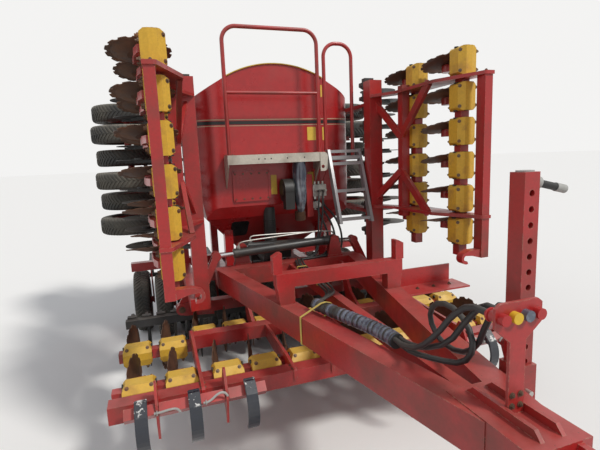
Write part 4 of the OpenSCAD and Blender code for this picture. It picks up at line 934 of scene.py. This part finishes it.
def hose_bundle():
    pts = smooth_route([at(*p) for p in BUNDLE_ROUTE], 3)
    fine = []
    for a, b in zip(pts, pts[1:]):
        n = max(1, round((b - a).length / BUNDLE_STEP))
        fine += [a.lerp(b, k / n) for k in range(n)]
    fine.append(pts[-1])

    def wrap_r(i):
        return 0.0355 + 0.0022 * math.sin(i * 0.9) + 0.0015 * noise.noise(fine[i] * 30)

    def tape_r(i):
        return 0.0372 + 0.0022 * math.sin(i * 1.25) + 0.002 * noise.noise(fine[i] * 22)
    bm = bmesh.new()
    sweep(bm, fine, wrap_r, 18)
    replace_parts(finish(bm, "bundle_wrap", "hose_rubber", "root", 60), "hoses")
    bm = bmesh.new()
    last = len(fine) - 1
    for start, stop in TAPE_BANDS:
        sweep(bm, fine[int(start * last):int(stop * last) + 1], tape_r, 18)
    finish(bm, "bundle_tape", "tape", "root", 60)


# Valves with their levers and hoses

# One row for each valve: (x, lean of its lever, shift of its hose)
VALVES = ((0.322, -0.02, 0.0), (0.362, 0.0, 0.03), (0.402, 0.03, 0.06))
VALVE_Y = 1.145
PORT_Y, PORT_Z = 1.06, 1.745
PLUG_X, PLUG_Z = 0.34, 1.61
KNOB_Y, KNOB_Z = 1.10, 1.93


def valve_fittings():
    """Port, cap and outlet of each valve, and the round plug below them."""
    bm = bmesh.new()
    for x, _, _ in VALVES:
        rod(bm, at(x, 1.115, PORT_Z), at(x, PORT_Y, PORT_Z), 0.011, 6)
        for z0, z1, r, n in ((1.80, 1.83, 0.012, 8), (1.69, 1.665, 0.013, 6)):
            rod(bm, at(x, VALVE_Y, z0), at(x, VALVE_Y, z1), r, n)
    rod(bm, at(PLUG_X, 1.10, PLUG_Z), at(PLUG_X, VALVE_Y, PLUG_Z), 0.026, 20)
    finish(bm, "valve_fittings", "zinc_steel")


def valve_levers():
    bm = bmesh.new()
    for x, lean, _ in VALVES:
        knob = at(x + lean, KNOB_Y, KNOB_Z)
        rod(bm, at(x, VALVE_Y, 1.825), knob, 0.005, 8)
        rod(bm, knob, at(x + lean * 1.2, 1.095, 1.95), 0.010, 10)
    finish(bm, "valve_levers", "cap_red")


def valve_hoses():
    """A hose down from each valve, and two more from the ports of the first two."""
    bm = bmesh.new()
    for x, _, shift in VALVES:
        route = [(x, VALVE_Y, 1.67), (x, 1.14, 1.60), (x + 0.04 + shift, 1.12, 1.50),
                 (x + 0.09 + shift, 1.08, 1.36), (x + 0.085 + shift, 1.045, 1.22),
                 (x + 0.03 + shift, 1.0, 1.148), (x - 0.12, 0.96, 1.142), (x - 0.26, 0.94, 1.142)]
        thin_tube(bm, route, 0.0095)
    for x, _, shift in VALVES[:2]:
        route = [(x, PORT_Y, PORT_Z), (x, 1.03, PORT_Z), (x - 0.02, 1.0, 1.70), (x - 0.03, 0.99, 1.50),
                 (x - 0.05 - shift, 0.985, 1.28), (x - 0.08 - shift, 0.975, 1.17),
                 (x - 0.18, 0.968, 1.141), (x - 0.27, 0.94, 1.141)]
        thin_tube(bm, route, 0.0085)
    finish(bm, "valve_hoses", "hose_rubber", "root", 60)


# Hoses along the middle strut, from the valves' side to the bundle's rear end

STRAPS_Y = (0.68, 0.22)
STRAP_X = (-0.042, 0.046)
STRAP_Z = (1.112, 1.151)
STRAP_HALF = 0.009
STRAP_THICK = 0.003


def strut_hoses():
    bm = bmesh.new()
    for k in range(4):
        shift = 0.019 * (k - 1.5)
        low = 1.125 + 0.010 * (k % 2)
        route = [(0.06 + shift, 0.93, 1.143 + 0.012 * (k % 2)), (0.03 + shift, 0.80, low),
                 (0.012 + shift, 0.55, low), (shift, 0.25, low), (-0.02 + shift, 0.02, low),
                 (-0.09 + shift, -0.14, 1.14 + 0.006 * k), (-0.20 + shift * 0.7, -0.24, 1.168),
                 (-0.262 + shift * 0.5, -0.325, 1.180)]
        thin_tube(bm, route, 0.0085)
    finish(bm, "strut_hoses", "hose_rubber", "root", 60)


def hose_straps():
    """Flat straps round the strut's hoses, each of four strips."""
    bm = bmesh.new()
    (x0, x1), (z0, z1) = STRAP_X, STRAP_Z
    for y in STRAPS_Y:
        front, back = y - STRAP_HALF, y + STRAP_HALF
        for z in (z0, z1 - STRAP_THICK):
            block(bm, at(x0, front, z), at(x1, back, z + STRAP_THICK))
        for x in (x0, x1 - STRAP_THICK):
            block(bm, at(x, front, z0), at(x + STRAP_THICK, back, z1))
    finish(bm, "hose_straps", "strap")


# Rack on the nose

RACK_FRONT, RACK_BACK = -1.576, -1.564
COLLAR_Y = -1.53
SOCKET_Z = 1.5
# Places of the sockets by the colour of their caps
CAPS = {"cap_red": (-0.075, 0.075), "cap_yellow": (-0.025,), "tape": (0.025,)}


def couplers():
    """A ring round each coupler's body and a coloured cap on the socket's front."""
    for finish_name, xs in CAPS.items():
        bm = bmesh.new()
        for x in xs:
            ring(bm, at(x, COLLAR_Y, SOCKET_Z), (0, 1, 0), 0.021, 0.005, 24, 8)
            rod(bm, at(x, RACK_FRONT, SOCKET_Z), at(x, RACK_FRONT - 0.024, SOCKET_Z), 0.020, 20)
        finish(bm, f"coupler_{finish_name}", finish_name)


def rack_bolts():
    """Bolts through the rack's foot, with a head on each side."""
    bm = bmesh.new()
    for x in (-0.018, 0.018):
        for z in (1.175, 1.215):
            bolt(bm, at(x, RACK_BACK, z), (0, 1, 0), 0.007)
            bolt(bm, at(x, RACK_FRONT, z), (0, -1, 0), 0.007)
    finish(bm, "rack_bolts", "bolt")


# Main frame, platform and rails

# Ribs over the front tube, then bearing plates of the paddles:
# (their places, their bolts as (station, z), half their thickness, size of the bolts)
PLATE_BOLTS = (
    (mirrored(0.52, 1.54, 3.8), ((-0.225, 0.735), (-0.175, 0.735)), 0.010, 0.009),
    (mirrored(3.32, 4.84), ((-0.235, 0.725), (-0.185, 0.725), (-0.21, 0.665)), 0.007, 0.008),
)
FOLD_PINS_Y = (1.225, 2.25)
DECK_FRONT = 1.0
DECK_Z = 2.10
RAIL_Y = 1.03
RAIL_FEET_X = (-0.49, 0.34)
SHELF_Y, SHELF_Z = -0.03, 1.060
SHELF_BOLTS_X = (0.52, 0.66, 0.80, 0.94)
DECK_HOLES_X = (-0.24, -0.185, -0.13, 0.02, 0.18)


def frame_trim():
    bm = bmesh.new()
    for xs, spots, half_thick, r in PLATE_BOLTS:
        for x in xs:
            for y, z in spots:
                for out in (1, -1):
                    bolt(bm, at(x + out * half_thick, y, z), (out, 0, 0), r)
    # Ends of the fold pins
    for s in (-1, 1):
        for y in FOLD_PINS_Y:
            for out in (-1, 1):
                bolt(bm, at(s * HINGE_X, y + out * 0.047, HINGE_Z), (0, out, 0), 0.018)
    # Feet of the rails, and the shelf on the drawbar
    for x in RAIL_FEET_X:
        for dx in (-0.028, 0.028):
            bolt(bm, at(x + dx, RAIL_Y, DECK_Z), (0, 0, 1), 0.007)
    for x in SHELF_BOLTS_X:
        bolt(bm, at(x, SHELF_Y, SHELF_Z), (0, 0, 1), 0.009)
    finish(bm, "frame_bolts", "bolt")


def rail_feet():
    bm = bmesh.new()
    for x in RAIL_FEET_X:
        low = at(x - 0.045, RAIL_Y - 0.028, DECK_Z - 0.0005)
        block(bm, low, at(x + 0.045, RAIL_Y + 0.028, DECK_Z + 0.004))
    finish(bm, "rail_feet", "red_paint")


def platform_holes():
    """Dark round spots on the front edge of the platform: painted shade standing in for its holes."""
    bm = bmesh.new()
    z = DECK_Z - 0.04
    for x in DECK_HOLES_X:
        rod(bm, at(x, DECK_FRONT - 0.0008, z), at(x, DECK_FRONT + 0.001, z), 0.0065, 12)
    finish(bm, "platform_holes", "painted_shade_black")


# Wings and harrows

# The wing's two ribs as places beyond the centre section, with their bolts as (station, z)
WING_RIBS = pitches(1.26, 5.2)
WING_RIB_BOLTS = ((-0.215, 0.655), (-0.165, 0.625), (0.0, ROW_Z), (SECOND_ROW_OUTER, ROW_Z))


# Bolts of a coulter's mount
MOUNT_Y = 1.02
MOUNT_BOLTS_Z = (0.885, 0.935)
# Turns of a harrow spring beside its tine
COILS_X = (-0.045, -0.030, 0.030, 0.045)


def harrow_springs(section, x0, x1, tines):
    """Two turns of spring wire round the harrow's bar on each side of each tine."""
    body, place = SECTIONS[section]
    bm = bmesh.new()
    for i in range(tines):
        x = x0 + (x1 - x0) * (i + 0.5) / tines
        for dx in COILS_X:
            centre = place(x + dx, HARROW_Y, HARROW_Z)
            axis = place(x + dx + 0.1, HARROW_Y, HARROW_Z) - centre
            ring(bm, centre, axis, 0.042, 0.006, 20, 6)
    finish(bm, f"harrow_springs_{section}", "dark_steel", body)


def wing_bolts(wing):
    """Bolts of the wing's ribs and coulter mounts."""
    body, place = SECTIONS[wing]
    bm = bmesh.new()
    for rib in WING_RIBS:
        x = CENTRE_HALF + rib
        for y, z in WING_RIB_BOLTS:
            for out in (-1, 1):
                p = place(x + out * 0.012, y, z)
                bolt(bm, p, place(x + out * 0.1, y, z) - p, 0.010)
    # Two coulters to a pitch
    for i in range(12):
        x = CENTRE_HALF + (i + 0.5) * PITCH / 2
        for dx in (-0.026, 0.026):
            for z in MOUNT_BOLTS_Z:
                bolt(bm, place(x + dx, MOUNT_Y, z), (0, 1, 0), 0.006)
    finish(bm, f"wing_bolts_{wing}", "bolt", body)


# Jack

JACK_X, JACK_Y, JACK_TOP = 0.262, -1.33, 1.96
JACK_PIN_Z = 1.06
# Root and tip of the handle's rod, from the column's top: (x, z)
HANDLE_ROOT = (0.0375, -0.040)
HANDLE_TIP = (0.1675, -0.070)


def jack_handle():
    """Knob and hub of the handle and the cap on the column, then the rubber grip."""
    x, y, top = JACK_X, JACK_Y, JACK_TOP
    root = at(x + HANDLE_ROOT[0], y, top + HANDLE_ROOT[1])
    along = (at(x + HANDLE_TIP[0], y, top + HANDLE_TIP[1]) - root).normalized()
    bm = bmesh.new()
    rod(bm, root + along * 0.126, root + along * 0.178, 0.018, 16)
    rod(bm, root + along * 0.002, root + along * 0.032, 0.026, 20)
    rod(bm, at(x, y, top - 0.002), at(x, y, top + 0.006), 0.034, 24)
    finish(bm, "jack_handle", "wire", "jack")
    bm = bmesh.new()
    rod(bm, root + along * 0.030, root + along * 0.128, 0.0155, 16)
    finish(bm, "jack_grip", "rubber", "jack")


def jack_pin():
    """The locking pin's head and the bolts of the jack's sleeve."""
    x, y = JACK_X, JACK_Y
    bm = bmesh.new()
    for dz in (-0.08, 0.08):
        for dy in (-0.03, 0.03):
            bolt(bm, at(x + 0.0495, y + dy, JACK_PIN_Z + dz), (1, 0, 0), 0.007)
    rod(bm, at(x, y - 0.075, JACK_PIN_Z), at(x, y - 0.049, JACK_PIN_Z), 0.012, 14)
    finish(bm, "jack_pin", "zinc_steel")


# Fold rams

# The rams stand before and behind one station, each from (x, z) to (x, z)
RAM_Y = 1.03
RAM_APART = 0.043
RAM_BASE = (-0.43, 1.29)
RAM_TIP = (0.67, 1.25)
# The oil pipe on top of a barrel: (along the ram, up from its middle)
RAM_PIPE = ((0.085, 0.062), (0.085, 0.085), (0.13, 0.098), (0.80, 0.098), (0.89, 0.09), (0.90, 0.062))


def ram_pipes():
    up = Vector((0, 0, 1))
    for s, side in SIDES.items():
        y = RAM_Y + side * RAM_APART
        base = at(side * RAM_BASE[0], y, RAM_BASE[1])
        along = (at(side * RAM_TIP[0], y, RAM_TIP[1]) - base).normalized()
        bm = bmesh.new()
        for far in (RAM_PIPE[0][0], RAM_PIPE[-1][0]):
            p = base + along * far
            rod(bm, p + up * 0.036, p + up * 0.062, 0.014, 6)
        sweep(bm, smooth_route([base + along * far + up * high for far, high in RAM_PIPE]), 0.007)
        finish(bm, f"ram_pipe_{s}", "zinc_steel", f"barrel_{s}")


# Strap round the drawbar's left beam and the bundle on it

# Slant of the left beam, as x for each length forward, and a point on its middle
BEAM_SLANT = 0.2172
BEAM_X, BEAM_Y = -0.32, -0.405
STRAP_Y = -0.42
# The strap's way round beam and bundle: (x, z)
STRAP_LOOP = ((-0.388, 1.143), (-0.389, 1.06), (-0.388, 0.978), (-0.320, 0.976), (-0.254, 0.978),
              (-0.253, 1.06), (-0.252, 1.140), (-0.202, 1.165), (-0.196, 1.190), (-0.214, 1.216),
              (-0.242, 1.223), (-0.270, 1.216), (-0.330, 1.178))


def ribbon(bm, pts, across, width, thick):
    """A closed flat band through pts, width along the direction across."""
    middle = sum(pts, Vector()) / len(pts)
    half = Vector(across).normalized() * width / 2
    rows = []
    for p in pts:
        out = (p - middle).normalized() * thick
        rows.append([bm.verts.new(q) for q in (p - half, p + half, p + half + out, p - half + out)])
    for row, after in zip(rows, rows[1:] + rows[:1]):
        bridge(bm, row, after)


def beam_strap():
    bm = bmesh.new()
    shift = BEAM_SLANT * (STRAP_Y - BEAM_Y)
    loop = [at(x - shift, STRAP_Y - BEAM_SLANT * (x - BEAM_X), z) for x, z in STRAP_LOOP]
    ribbon(bm, loop, (-BEAM_SLANT, 1, 0), 0.015, 0.0025)
    finish(bm, "beam_strap", "strap")


# Lever pins in the paddles' bearings: (x, rise of the bent end)
PADDLE_PINS = ((1.19, 0.0), (0.93, 0.035))
PADDLE_PIN_Z = 0.735


def paddle_pins():
    for s, side in SIDES.items():
        bm = bmesh.new()
        for x, rise in PADDLE_PINS:
            z = PADDLE_PIN_Z
            route = [(x + 0.035, -0.385, z), (x, -0.388, z + 0.002), (x - 0.05, -0.392, z + 0.010 + rise),
                     (x - 0.085, -0.392, z + 0.007 + rise), (x - 0.10, -0.390, z - 0.020 + rise)]
            thin_tube(bm, [(side * px, py, pz) for px, py, pz in route], 0.0065)
            ring(bm, at(side * (x + 0.02), -0.386, z), (1, 0, 0), 0.012, 0.003, 16, 5)
        finish(bm, f"paddle_pins_{s}", "wire", f"paddle_unit_{s}")


# Stage: pale floor and plain soft light

WORLD_LIGHT = 0.42
WORLD_SEEN = 0.97
# Lamps: (name, where the light comes from, power, spread in degrees, colour)
LAMPS = (
    ("key", (0.55, -0.75, 0.95), 2.1, 9, (1, 0.975, 0.93)),
    ("fill", (-0.9, -0.35, 0.6), 0.38, 40, (0.95, 0.97, 1)),
)


def seen_share(nt):
    """1 for what the camera sees directly or in metal and glass, 0 for light that falls on the object."""
    path = nt.nodes.new("ShaderNodeLightPath")
    total = maths(nt, "MAXIMUM", path.outputs["Is Camera Ray"], path.outputs["Is Glossy Ray"])
    return maths(nt, "MAXIMUM", total, path.outputs["Is Transmission Ray"])


def add_floor():
    bpy.ops.mesh.primitive_plane_add(size=400, location=(0, 0, 0))
    floor = bpy.context.object
    floor.name = "floor"
    mat, nt, b = new_material("floor_pale")
    tone = mix_rgb(nt, seen_share(nt), (0.55, 0.54, 0.52), (0.93, 0.925, 0.91))
    nt.links.new(tone, b.inputs["Base Color"])
    b.inputs["Roughness"].default_value = 1.0
    b.inputs["Specular IOR Level"].default_value = 0.0
    floor.data.materials.append(mat)


def add_world():
    world = bpy.data.worlds.new("studio")
    bpy.context.scene.world = world
    world.use_nodes = True
    nt = world.node_tree
    back = nt.nodes["Background"]
    seen = seen_share(nt)
    nt.links.new(mix_rgb(nt, seen, (0.93, 0.95, 1.0), (0.93, 0.925, 0.915)), back.inputs[0])
    nt.links.new(ramp(nt, seen, 0, 1, WORLD_LIGHT, WORLD_SEEN), back.inputs[1])


def add_lamps():
    for name, coming_from, power, spread, colour in LAMPS:
        data = bpy.data.lights.new(name, "SUN")
        data.energy = power
        data.angle = math.radians(spread)
        data.color = colour
        lamp = bpy.data.objects.new(name, data)
        lamp.rotation_euler = Vector(coming_from).to_track_quat("Z", "Y").to_euler()
        bpy.context.scene.collection.objects.link(lamp)


add_camera()
dress_nodes()
free_hoses()
press_wheels()
tool_trim()
hopper_trim()
tarpaulin()
fan()
duct_ribs()
pipe_clips()
hose_bundle()
valve_fittings()
valve_levers()
valve_hoses()
strut_hoses()
hose_straps()
couplers()
rack_bolts()
frame_trim()
rail_feet()
platform_holes()
for wing_name in SIDES:
    wing_bolts(wing_name)
    harrow_springs(wing_name, CENTRE_HALF, WING_END - 0.01, 6)
jack_handle()
jack_pin()
ram_pipes()
beam_strap()
paddle_pins()
harrow_springs("mid", 0.03 - CENTRE_HALF, CENTRE_HALF - 0.03, 12)
add_floor()
add_world()
add_lamps()
bpy.context.scene.view_settings.view_transform = "Standard"
